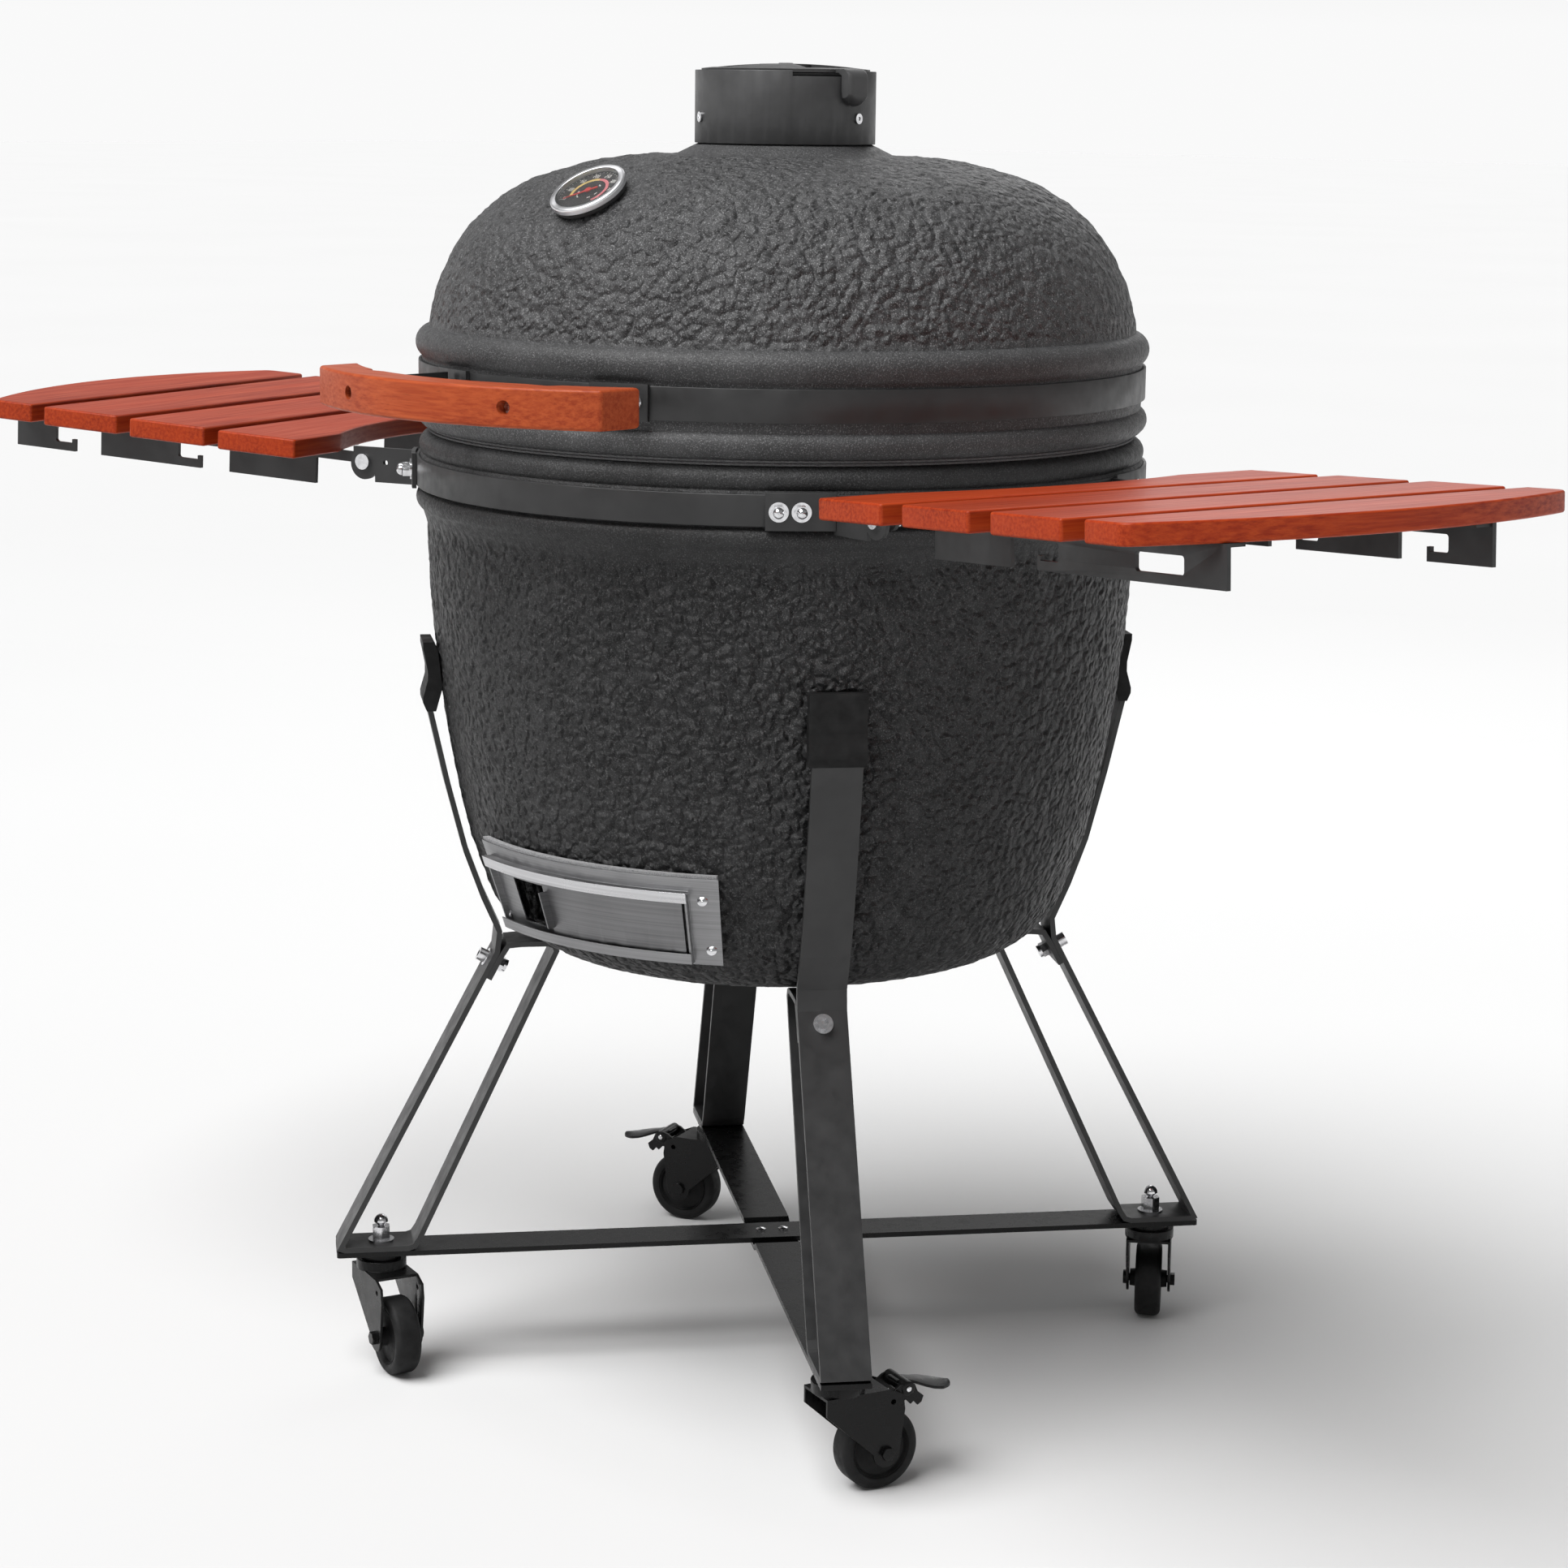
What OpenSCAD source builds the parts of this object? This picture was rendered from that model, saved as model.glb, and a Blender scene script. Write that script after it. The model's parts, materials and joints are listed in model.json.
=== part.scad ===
/* [Body] */
// Outer radius of the lid band
lid_band_r = 338; // [330:1:345]
// Outer radius of the base band
base_band_r = 341; // [335:1:348]
// Thickness of both clamp bands
band_t = 3; // [2:0.5:5]
// Height of the seam between the two gaskets
seam_z = 902; // [895:1:910]
// Thickness of each felt gasket
gasket_t = 2.6; // [2:0.1:4]
// Thickness of the ceramic wall
wall = 26; // [20:1:32]

/* [Cart] */
// Turn of the cart and the draft door from the front of the lid, degrees
cart_turn = 5.4; // [0:0.1:10]
// Width of the flat bar of the legs and crossbars
bar_w = 45; // [38:1:52]
// Thickness of the flat bar
bar_t = 5; // [4:0.5:6]
// Distance from the body axis to a caster stem
stem_r = 381; // [370:1:390]
// Height of the upper face of the crossbars
cross_z = 116; // [112:1:120]

/* [Casters] */
// Wheel diameter
wheel_d = 75; // [70:1:78]
// Distance from the stem to the wheel axle
trail = 38; // [34:1:42]

/* [Shelves] */
// Direction of each shelf from the front, degrees
shelf_az = 75.5; // [70:0.5:85]
// Upward tilt of each shelf, degrees
shelf_tilt = 2.8; // [0:0.1:4]
// Width of a slat
slat_w = 88; // [80:1:92]
// Gap between slats
slat_gap = 19; // [10:1:20]
// Thickness of a slat
slat_t = 18; // [14:1:22]

/* [Hidden] */

$fn = 96;
eps = 0.01;

black_coat = [0.16, 0.16, 0.17];
ceramic = [0.30, 0.30, 0.31];
wood_red = [0.66, 0.27, 0.15];
wood_orange = [0.76, 0.36, 0.17];
steel = [0.72, 0.73, 0.75];
chrome = [0.85, 0.86, 0.88];
rubber = [0.10, 0.10, 0.10];
felt = [0.35, 0.35, 0.36];

// Cart corners: front left, front right, rear right, rear left
leg_az = [for (a = [-45, 45, 135, 225]) a + cart_turn];
// Swivel angle of each caster at rest, in the same order
swivel_rest = [-21, 69, 124, 198];

// Distance from the middle of the footprint back to the body axis: grip in front, hinge behind
function footprint_shift() = (grip_front - hinge_y - ear_r) / 2;
// Everything is drawn about the body axis, then stood on the middle of the footprint
module placed() translate([0, footprint_shift(), 0]) children();

// ---------- shared helpers ----------

// Points on an arc of radius r about c, from angle a0 to a1 in n steps
function arc(c, r, a0, a1, n) =
    [for (i = [0:n]) c + r * [cos(a0 + (a1 - a0) * i / n), sin(a0 + (a1 - a0) * i / n)]];

// Puts children built toward the front (-Y) at azimuth a
module at_az(a) rotate([0, 0, a]) children();

// Puts a flat shape drawn in radius and height upright in the plane of azimuth 0, w wide
module upright(w) rotate([90, 0, -90]) translate([0, 0, -w / 2]) linear_extrude(w) children();

// Mitre at point i of the path p: the step sideways for a bar 2 thick
function unit(v) = v / norm(v);
function heading(p, i) = unit(p[min(i + 1, len(p) - 1)] - p[min(i, len(p) - 2)]);
function mitre(p, i) =
    let (d0 = heading(p, max(i - 1, 0)), d1 = heading(p, i), n0 = [-d0[1], d0[0]],
         n1 = [-d1[1], d1[0]])
    (n0 + n1) / (1 + n0 * n1);
// A bar of thickness t that follows the points p, drawn flat
module strip(p, t) polygon(concat(
    [for (i = [0:len(p) - 1]) p[i] + mitre(p, i) * t / 2],
    [for (i = [len(p) - 1:-1:0]) p[i] - mitre(p, i) * t / 2]));

// Part of a ring between radii r0 and r1, heights z0 and z1, azimuths a0 and a1
module ring_part(r0, r1, z0, z1, a0, a1)
    translate([0, 0, z0]) rotate([0, 0, a0 - 90]) rotate_extrude(angle = a1 - a0)
        translate([r0, 0]) square([r1 - r0, z1 - z0]);

// Closed ring between radii r0 and r1, heights z0 and z1
module ring(r0, r1, z0, z1)
    translate([0, 0, z0]) difference() {
        cylinder(r = r1, h = z1 - z0);
        translate([0, 0, -1]) cylinder(r = r0, h = z1 - z0 + 2);
    }

// Flat plate with corners of radius r
module plate(w, h, t, r) linear_extrude(t) rounded(w, h, r);
module rounded(w, h, r) {
    square([w - 2 * r, h], center = true);
    square([w, h - 2 * r], center = true);
    for (x = [-1, 1], y = [-1, 1]) translate([x * (w / 2 - r), y * (h / 2 - r)]) circle(r, $fn = 32);
}

// Acorn nut with washer, standing on z = 0, h high
module acorn_nut(af, h) {
    cylinder(d = af * 1.55, h = 1.6);
    translate([0, 0, 1.4]) cylinder(d = af / cos(30), h = h * 0.5, $fn = 6);
    translate([0, 0, h * 0.45]) rotate_extrude($fn = 48)
        polygon(concat([[0, 0]], arc([0, h * 0.55 - af * 0.44], af * 0.44, 0, 90, 6)));
}

// Socket cap screw head on z = 0 with its shank of length l below
module cap_screw(d, l) {
    difference() {
        cylinder(d = d * 1.6, h = d);
        translate([0, 0, d * 0.45]) cylinder(d = d * 0.9, h = d, $fn = 6);
    }
    translate([0, 0, -l]) cylinder(d = d, h = l + 0.5);
}

// Pan head screw on z = 0 with its shank of length l below
module pan_screw(d, l) {
    intersection() {
        cylinder(d = d * 1.9, h = d * 0.6);
        translate([0, 0, -d * 1.05]) sphere(r = d * 1.65);
    }
    translate([0, 0, -l]) cylinder(d = d, h = l + 0.3);
}

// ---------- ceramic ----------

// Base: arcs of the side and of the rounded foot
side_r = 1361.5;
side_c = [-1030.8, 840.3];
foot_r = 101;
foot_c = [182.8, 512.4];
bowl_floor_z = 400;
groove_r = base_band_r - band_t - 0.4;
rim_r = base_band_r - 13;
// Outer outline from the middle of the floor up to the rim, with the band groove
function bowl_outer() = concat(
    [[0, bowl_floor_z], [140, bowl_floor_z]],
    arc(foot_c, foot_r, -80, -22, 8),
    arc(side_c, side_r, -13.4, -1.1, 10),
    arc([base_band_r - 11, 838], 11, -60, 60, 6),
    [[groove_r, 849], [groove_r, 877]],
    arc([base_band_r - 14.5, 887], 11.5, -40, 66, 6),
    [[rim_r, seam_z - gasket_t]]);
// Inner outline, from the rim down to the middle of the floor
function bowl_inner() = concat(
    [[rim_r - wall, seam_z - gasket_t], [rim_r - wall, 860]],
    arc(side_c, side_r - wall, -1.5, -13.4, 8),
    arc(foot_c, foot_r - wall, -24, -78, 6),
    [[0, bowl_floor_z + wall + 8]]);

// Draft port: window in the base wall behind the draft frame
port_z0 = 464;
port_z1 = 506;
port_a0 = -18;
port_a1 = 1;

module base_bowl() color(ceramic) difference() {
    rotate_extrude($fn = 180) polygon(concat(bowl_outer(), bowl_inner()));
    at_az(cart_turn) ring_part(200, 330, port_z0, port_z1, port_a0, port_a1);
}

// Lid: rim bulges, three arcs up to the crown, and the neck under the vent
lower_r = 197;
lower_c = [132.9, 968.8];
shoulder_r = 157.8;
shoulder_c = [169.3, 984.2];
crown_r = 311.4;
crown_c = [110.5, 841.3];
neck_z = 1163.4;
vent_hole_r = 66;
lid_groove_r = lid_band_r - band_t - 0.4;
lid_rim_r = lid_band_r - 10;
function dome_outer() = concat(
    [[lid_rim_r, seam_z + gasket_t], [lid_band_r - 4, seam_z + gasket_t + 1]],
    arc([lid_rim_r, 916.5], 12, -50, 60, 6),
    [[lid_groove_r, 935.6], [lid_groove_r, 965.8]],
    arc([lid_band_r - 13, 981], 15.5, -52, 62, 8),
    arc(lower_c, lower_r, 8, 26, 4),
    arc(shoulder_c, shoulder_r, 30, 76, 10),
    arc(crown_c, crown_r, 72.5, 91.5, 5),
    [[80, neck_z], [vent_hole_r, neck_z]]);
function dome_inner() = concat(
    [[vent_hole_r, neck_z - wall]],
    arc(crown_c, crown_r - wall, 91.5, 74, 3),
    arc(shoulder_c, shoulder_r - wall, 70, 30, 8),
    arc(lower_c, lower_r - wall, 26, 8, 3),
    [[lid_rim_r - wall, 985], [lid_rim_r - wall, seam_z + gasket_t]]);

// Axis of the thermometer: foot on the dome and tilt back from level
thermo_r = 253.5;
thermo_z = 1117.5;
thermo_up = 56;
module at_thermo() translate([0, -thermo_r, thermo_z]) rotate([90 - thermo_up, 0, 0]) children();

module lid_dome() color(ceramic) difference() {
    rotate_extrude($fn = 180) polygon(concat(dome_outer(), dome_inner()));
    at_thermo() translate([0, 0, -60]) cylinder(d = 11, h = 90);
}

// ---------- bands and gaskets ----------

module base_band() color(black_coat)
    ring(base_band_r - band_t, base_band_r, 849.4, 876.6);

module lid_band() color(black_coat)
    ring(lid_band_r - band_t, lid_band_r, 936.2, 965.2);

module gasket(z0) ring(rim_r - 20, rim_r - 0.5, z0, z0 + gasket_t - 0.1);
module base_gasket() color(felt) gasket(seam_z - gasket_t);
module lid_gasket() color(felt) gasket(seam_z + 0.1);

// ---------- inside ----------

firebox_r = 248;
firebox_z = 441;
module firebox() color([0.55, 0.5, 0.42]) difference() {
    rotate_extrude($fn = 120) polygon([
        [90, firebox_z], [205, firebox_z], [firebox_r, firebox_z + 74], [firebox_r, 690],
        [firebox_r - 22, 690], [firebox_r - 22, firebox_z + 96], [218, firebox_z + 76],
        [190, firebox_z + 62], [190, firebox_z + 30], [90, firebox_z + 30]]);
    at_az(cart_turn - 8.5) translate([-70, -300, firebox_z - 1]) cube([140, 130, 46]);
    for (a = [0:30:330]) rotate([0, 0, a]) translate([0, 0, 650]) rotate([90, 0, 0])
        cylinder(d = 16, h = 300, $fn = 24);
}
// Ring that stands on the firebox and carries the cooking grate
ring_top = 872;
module fire_ring() color([0.55, 0.5, 0.42])
    rotate_extrude($fn = 120) polygon([
        [firebox_r - 20, 690.2], [firebox_r + 14, 690.2], [290, 840], [290, ring_top],
        [268, ring_top], [268, 842], [firebox_r - 4, 720], [firebox_r - 20, 716]]);

charcoal_r = 186;
module charcoal_grate() color([0.12, 0.12, 0.12]) translate([0, 0, firebox_z + 30.2]) {
    difference() {
        cylinder(r = charcoal_r, h = 9);
        for (a = [0:30:330], r = [62, 104, 148]) rotate([0, 0, a + r]) translate([r, 0, -1])
            cylinder(d = r * 0.2 + 6, h = 11, $fn = 24);
    }
}

grate_r = 286;
grate_wire = 5;
wire_pitch = 26;
rail_x = 110;
module cooking_grate() color(steel) translate([0, 0, ring_top + 0.1]) {
    ring(grate_r - 7, grate_r, 0, 7);
    for (i = [-10:10]) {
        x = i * wire_pitch;
        l = sqrt(pow(grate_r - 4, 2) - x * x);
        translate([x, -l, 4.8]) rotate([-90, 0, 0]) cylinder(d = grate_wire, h = 2 * l, $fn = 24);
    }
    for (s = [-1, 1]) {
        l = sqrt(pow(grate_r - 4, 2) - rail_x * rail_x) - 2;
        translate([-l, s * rail_x - 4, 0]) cube([2 * l, 8, 3.2]);
    }
}

// ---------- draft door ----------

// The frame is a curved sheet that leans with the base; these give its radius by height
draft_z0 = 450;
draft_z1 = 534;
draft_a = 26.5;
function lean_r(z) = 303 + 0.34 * (z - 532);

// Curved leaning piece: its section is given as distance proud of the sheet, and height
module lean_piece(section, a0, a1)
    rotate([0, 0, a0 - 90]) rotate_extrude(angle = a1 - a0, $fn = 120)
        polygon([for (p = section) [lean_r(p[1]) + p[0], p[1]]]);
// Leaning sheet, t thick and s proud, from z0 to z1
module lean_sheet(s, t, z0, z1, a0, a1)
    lean_piece([[s, z0], [s + t, z0], [s + t, z1], [s, z1]], a0, a1);

rail_a0 = -24.3;
rail_a1 = 21.2;
rail_top = draft_z1 - 12.5;
rail_bottom = draft_z0 + 2;
rail_lip = 10;
module draft_frame() color(steel) at_az(cart_turn) {
    difference() {
        lean_sheet(0, 1.5, draft_z0, draft_z1, -draft_a, draft_a);
        lean_sheet(-5, 12, port_z0, port_z1, port_a0, port_a1);
    }
    // Rails: each stands off the sheet and turns over the sliding doors
    lean_piece([[1, rail_top], [11, rail_top], [11, rail_top - rail_lip],
        [9.5, rail_top - rail_lip], [9.5, rail_top - 2], [1, rail_top - 2]], rail_a0, rail_a1);
    lean_piece([[1, rail_bottom], [11, rail_bottom], [11, rail_bottom + rail_lip],
        [9.5, rail_bottom + rail_lip], [9.5, rail_bottom + 2], [1, rail_bottom + 2]],
        rail_a0, rail_a1);
    // End stops
    for (a = [rail_a0 + 0.1, rail_a1 - 0.5])
        lean_sheet(1, 7, rail_bottom + 1, rail_top - 1, a, a + 0.4);
}
module draft_gasket() color([0.78, 0.77, 0.74]) at_az(cart_turn) difference() {
    lean_sheet(-6.6, 6.5, draft_z0 + 1, draft_z1 + 3, -draft_a + 0.3, draft_a - 0.3);
    lean_sheet(-9, 14, draft_z0 + 11, draft_z1 - 9, -draft_a + 5, draft_a - 5);
}
door_a0 = -8;
door_a1 = 20.2;
door_z0 = rail_bottom + 2.4;
door_z1 = rail_top - 2.4;
module draft_door() color(steel) at_az(cart_turn) {
    lean_sheet(6.6, 1.2, door_z0, door_z1, door_a0, door_a1);
    // Finger tab folded out at the leading edge
    lean_sheet(7.2, 9, door_z0 + 14, door_z1 - 16, door_a0 + 0.4, door_a0 + 0.7);
}
module draft_screen() color(steel) at_az(cart_turn) difference() {
    lean_sheet(3.4, 1, door_z0, door_z1, door_a0 + 0.6, door_a1 - 0.2);
    for (a = [door_a0 + 3:2.6:door_a0 + 24]) lean_sheet(2, 4, port_z0 + 3, port_z1 - 3, a, a + 1.2);
}
module draft_screws() color(chrome) at_az(cart_turn)
    for (a = [-25, 24], z = [465, 513]) at_az(a + (z < 500 ? 0.6 : -0.4))
        translate([0, -lean_r(z) - 1.5, z]) rotate([90, 0, 0]) rotate([-18.8, 0, 0])
            pan_screw(5, 8);

// ---------- hinge ----------

hinge_y = 392;
hinge_z = 906;
hinge_pin_r = 5;
ear_x = 66;
arm_x = 56;
ear_r = 13;

module hinge_lower() color(black_coat) difference() {
    union() {
        at_az(180) ring_part(base_band_r + 0.2, base_band_r + 5.2, 846, 880, -13.5, 13.5);
        for (s = [-1, 1]) translate([s * ear_x - 2.5, 0, 0]) rotate([90, 0, 90])
            linear_extrude(5) difference() {
                union() {
                    polygon([[338, 846], [345, 846], [402, 894], [402, 908], [380, 908],
                             [362, 880], [338, 880]]);
                    translate([hinge_y, hinge_z]) circle(ear_r);
                }
                translate([hinge_y, hinge_z]) circle(hinge_pin_r);
            }
    }
    cylinder(r = base_band_r + 0.2, h = 920);
}
module hinge_upper() color(black_coat) difference() {
    union() {
        at_az(180) ring_part(lid_band_r + 0.2, lid_band_r + 5.2, 933, 968, -13.5, 13.5);
        for (s = [-1, 1]) translate([s * arm_x - 2.5, 0, 0]) rotate([90, 0, 90])
            linear_extrude(5) difference() {
                union() {
                    polygon([[335, 933], [335, 968], [358, 968], [hinge_y + ear_r, 908],
                             [381, 900], [366, 933]]);
                    translate([hinge_y, hinge_z]) circle(ear_r);
                }
                translate([hinge_y, hinge_z]) circle(hinge_pin_r + 0.05);
            }
    }
    cylinder(r = lid_band_r + 0.2, h = 1000);
}
module hinge_pin() color(chrome) translate([0, hinge_y, hinge_z]) rotate([0, 90, 0]) {
    translate([0, 0, -ear_x - 8]) cylinder(r = hinge_pin_r, h = 2 * ear_x + 16);
    for (s = [-1, 1]) translate([0, 0, s * (ear_x + 5.5) - 2.5]) cylinder(d = 17, h = 5, $fn = 6);
}

// Torsion springs round the pin: a helix of wire swept by rings of points
spring_r = 11;
spring_wire = 1.9;
spring_turns = 5;
spring_steps = 14;
spring_sides = 6;
spring_pitch = 5;
module coil() {
    n = spring_turns * spring_steps;
    pts = [for (i = [0:n], k = [0:spring_sides - 1])
        let (a = 360 * i / spring_steps, b = 360 * k / spring_sides,
             r = spring_r + spring_wire * cos(b))
        [r * cos(a), r * sin(a), spring_pitch * i / spring_steps + spring_wire * sin(b)]];
    sides = [for (i = [0:n - 1], k = [0:spring_sides - 1])
        let (k1 = (k + 1) % spring_sides, p = i * spring_sides, q = p + spring_sides)
        [p + k, p + k1, q + k1, q + k]];
    caps = [[for (k = [spring_sides - 1:-1:0]) k],
            [for (k = [0:spring_sides - 1]) n * spring_sides + k]];
    polyhedron(pts, concat(sides, caps), convexity = 8);
}
module hinge_springs() color(steel) for (s = [-1, 1])
    translate([s * 31 - spring_turns * spring_pitch / 2, hinge_y, hinge_z]) rotate([0, 90, 0]) coil();

// ---------- shelves ----------

pivot_u = 366;
pivot_z = 862;
arm_v = 150;
bracket_v = 136;
bracket_t = 4;
// Shelf frame: x runs outward from the body axis and y to the rear of the right-hand shelf
module shelf_side(s) mirror([s < 0 ? 1 : 0, 0, 0]) rotate([0, 0, shelf_az - 90]) children();
// Same frame at the fold pivot, tilted with the shelf
module shelf_top(s) shelf_side(s) translate([pivot_u, 0, pivot_z]) rotate([0, -shelf_tilt, 0])
    children();

slat_bottom = 6;
inner_u = 393 - pivot_u;
slat_pitch = slat_w + slat_gap;
// Each slat sits a little further back than the one inside it
function slat_mid(i) = 4 + i * 5;
function slat_half(i) = 233 - i * 0.7;
// The outer edge is an arc that bulges furthest a little behind the middle
edge_r = 600;
edge_u = 806 - pivot_u;
edge_v = 15;
module slat_shape(i) intersection() {
    translate([inner_u + i * slat_pitch, slat_mid(i) - slat_half(i)])
        square([i == 3 ? 120 : slat_w, 2 * slat_half(i)]);
    if (i == 3) translate([edge_u - edge_r, edge_v]) circle(edge_r, $fn = 180);
}
module shelf_slats(s) color(wood_red) shelf_top(s) translate([0, 0, slat_bottom])
    linear_extrude(slat_t) {
        difference() {
            slat_shape(0);
            translate([-pivot_u, 0]) circle(422, $fn = 180);
        }
        slat_shape(1);
        slat_shape(2);
        slat_shape(3);
    }
module shelf_slats_left() shelf_slats(-1);
module shelf_slats_right() shelf_slats(1);

// Steel bracket under the slats, drawn in outward distance and height from the pivot
bracket_end = 424;
bracket_drop = 29;
tongue_t = 8;
slot_h = 15;
// Slot over a tongue, l long and ending at u
module hook_slot(u, l)
    translate([u - l / 2, tongue_t - bracket_drop + slot_h / 2]) rounded(l, slot_h, 3);
// Notch open to below, w wide and ending at u
module notch(u, w) translate([u - w, -bracket_drop - 1]) square([w + eps, tongue_t + slot_h + 1]);
module tongue_tip(u) translate([u, -bracket_drop]) square([4, tongue_t + 4]);
// Two open hooks, or one open hook and one long closed slot
module bracket_shape(open_hooks) {
    difference() {
        union() {
            translate([0, -4]) square([68, 9.8]);
            circle(10, $fn = 48);
            translate([64, -bracket_drop]) square([bracket_end - 64, bracket_drop + 5.8]);
        }
        notch(199, 34);
        hook_slot(226, 33);
        if (open_hooks) notch(352, 32);
        hook_slot(376, open_hooks ? 30 : 57);
        circle(d = 8.1);
    }
    tongue_tip(199);
    if (open_hooks) tongue_tip(352);
}
module shelf_brackets(s) color(black_coat) shelf_top(s) {
    for (v = [-1, 1]) translate([0, v * bracket_v + bracket_t / 2, 0]) rotate([90, 0, 0])
        linear_extrude(bracket_t) bracket_shape(v == s);
    // Flange turned in under the slats, and two cross rails that tie the brackets
    for (v = [-1, 1]) translate([66, v * (bracket_v - 9) - 9, slat_bottom - 3.2])
        cube([bracket_end - 68, 18, 3]);
    for (u = [70, 324]) translate([u, -bracket_v, slat_bottom - 3.2]) cube([26, 2 * bracket_v, 3]);
}
module shelf_brackets_left() shelf_brackets(-1);
module shelf_brackets_right() shelf_brackets(1);

// Arm: a flange curved to the base band, then a plate that carries the fold pivot
arm_a0 = -36.2;
arm_a1 = -26.2;
module shelf_arm(v) mirror([0, v > 0 ? 1 : 0, 0]) difference() {
    union() {
        ring_part(base_band_r + 0.2, base_band_r + 4.2, 846.5, 879, 90 + arm_a0, 90 + arm_a1);
        translate([296, 2 - arm_v, 0]) rotate([90, 0, 0]) linear_extrude(4) difference() {
            union() {
                translate([0, 843]) square([58, 33]);
                translate([58, 855]) square([24, 21]);
                translate([pivot_u - 296, 860]) circle(15, $fn = 48);
            }
            translate([pivot_u - 296, pivot_z]) circle(d = 8);
            translate([46, pivot_z]) circle(d = 5, $fn = 24);
        }
    }
    cylinder(r = base_band_r + 0.2, h = 920);
}
module shelf_arms(s) color(black_coat) shelf_side(s) for (v = [-1, 1]) shelf_arm(v);
module shelf_arms_left() shelf_arms(-1);
module shelf_arms_right() shelf_arms(1);

// Shoulder pins through the arms and brackets, with the spacer between them
module shelf_pivots() color(chrome) for (s = [-1, 1]) shelf_side(s) for (v = [-1, 1])
    translate([pivot_u, 0, pivot_z]) mirror([0, v > 0 ? 1 : 0, 0]) rotate([90, 0, 0]) {
        translate([0, 0, bracket_v - 8]) cylinder(d = 8, h = arm_v + 6 - bracket_v + 8);
        translate([0, 0, arm_v + 2]) cylinder(d = 15, h = 4);
        translate([0, 0, bracket_v + bracket_t / 2 + 0.3])
            cylinder(d = 13, h = arm_v - bracket_v - bracket_t / 2 - 2.3);
        translate([0, 0, bracket_v - bracket_t / 2 - 5.3]) cylinder(d = 14, h = 5, $fn = 6);
    }

// Acorn nuts that hold the shelf arms and the rear hinge on the base band
module on_band(r, z, a) at_az(a) translate([0, -r, z]) rotate([90, 0, 0]) children();
module base_band_nuts() color(chrome) {
    for (s = [-1, 1], v = [-1, 1], a = [31.1, 34.3])
        on_band(base_band_r + 4.2, 862.6, s * (shelf_az + v * a)) acorn_nut(11, 14);
    for (a = [-9, -5, 5, 9]) on_band(base_band_r + 5.2, 863, 180 + a) acorn_nut(11, 14);
}

// ---------- cart ----------

// Splay of a leg's outer run: radius of its centre line by height
splay = 27.6;
function splay_r(z) = 283.4 + tan(splay) * (382 - z);
tab_step = (bar_t + 0.1) / cos(splay);
// Centre line of a leg's bent bar: pad, strap, splayed leg, foot, inner leg, seat and tab
foot_z = cross_z + bar_t / 2;
pad_z0 = 641;
pad_z1 = 706;
// The strap's end bends in to the bowl and out again inside its rubber pad
function strap_end() = [[332.5, pad_z1 - 6], [328, pad_z1 - 30], [331, pad_z0]];
function leg_path() = concat(strap_end(), [
    [315.5, 572], [298.5, 506], [282.5, 462], [267.5, 428],
    [splay_r(408), 408], [splay_r(130), 130], [splay_r(120), 120], [416, foot_z],
    [356, foot_z], [350, 120.5], [345, 128],
    [213.5, 408], [215.5, 413], [221, 415.2], [247, 415.2],
    [splay_r(411) - tab_step - 3, 414.2], [splay_r(402) - tab_step, 402],
    [splay_r(382) - tab_step, 382]]);
module leg(a) color(black_coat) at_az(a) difference() {
    upright(bar_w) strip(leg_path(), bar_t);
    leg_bolt_hole();
    at_stem() cylinder(d = 10.2, h = 60, center = true);
}
// Bolt that clamps the tab to the splayed leg, square to the bar
bolt_z = 396;
bolt_r = splay_r(bolt_z) - tab_step / 2;
module at_leg_bolt() translate([0, -bolt_r, bolt_z]) rotate([90 - splay, 0, 0]) children();
module leg_bolt_hole() at_leg_bolt() cylinder(d = 8.2, h = 60, center = true);
module at_stem() translate([0, -stem_r, cross_z]) children();
module leg_front_left() leg(leg_az[0]);
module leg_front_right() leg(leg_az[1]);
module leg_rear_right() leg(leg_az[2]);
module leg_rear_left() leg(leg_az[3]);

module leg_bolts() color(chrome) for (a = leg_az) at_az(a) at_leg_bolt() {
    translate([0, 0, bar_t + 0.1]) cylinder(d = 18, h = 1.5);
    translate([0, 0, bar_t + 1.6]) cap_screw(8, 20);
    translate([0, 0, -bar_t - 6.8]) cylinder(d = 15, h = 6.6, $fn = 6);
    translate([0, 0, -bar_t - 10]) cylinder(d = 12.5, h = 4);
}

// Rubber caps over the top of each strap, bearing on the bowl
pad_w = 51;
module leg_pads() color(rubber) for (a = leg_az) at_az(a) difference() {
    upright(pad_w) polygon([
        [328, pad_z1], [337.6, pad_z1], [337.6, pad_z1 - 6], [333.5, pad_z1 - 27],
        [333.5, pad_z1 - 36], [338, pad_z0 + 13], [338, pad_z0 + 8], [334.5, pad_z0],
        [326, pad_z0], [319.8, pad_z0 + 22], [323.9, pad_z1 - 8]]);
    upright(bar_w + 0.2) strip(concat(strap_end(), [[329, pad_z0 - 10]]), bar_t + 0.1);
}

module crossbar_wide() color(black_coat) at_az(leg_az[0]) difference() {
    translate([0, 0, cross_z - bar_t]) plate(bar_w, 2 * 424, bar_t, 3);
    for (s = [-1, 1]) translate([0, s * stem_r, 0]) cylinder(d = 10.2, h = 300);
    for (s = [-1, 1]) translate([0, s * 11, 100]) cylinder(d = 5.1, h = 30);
}
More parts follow.
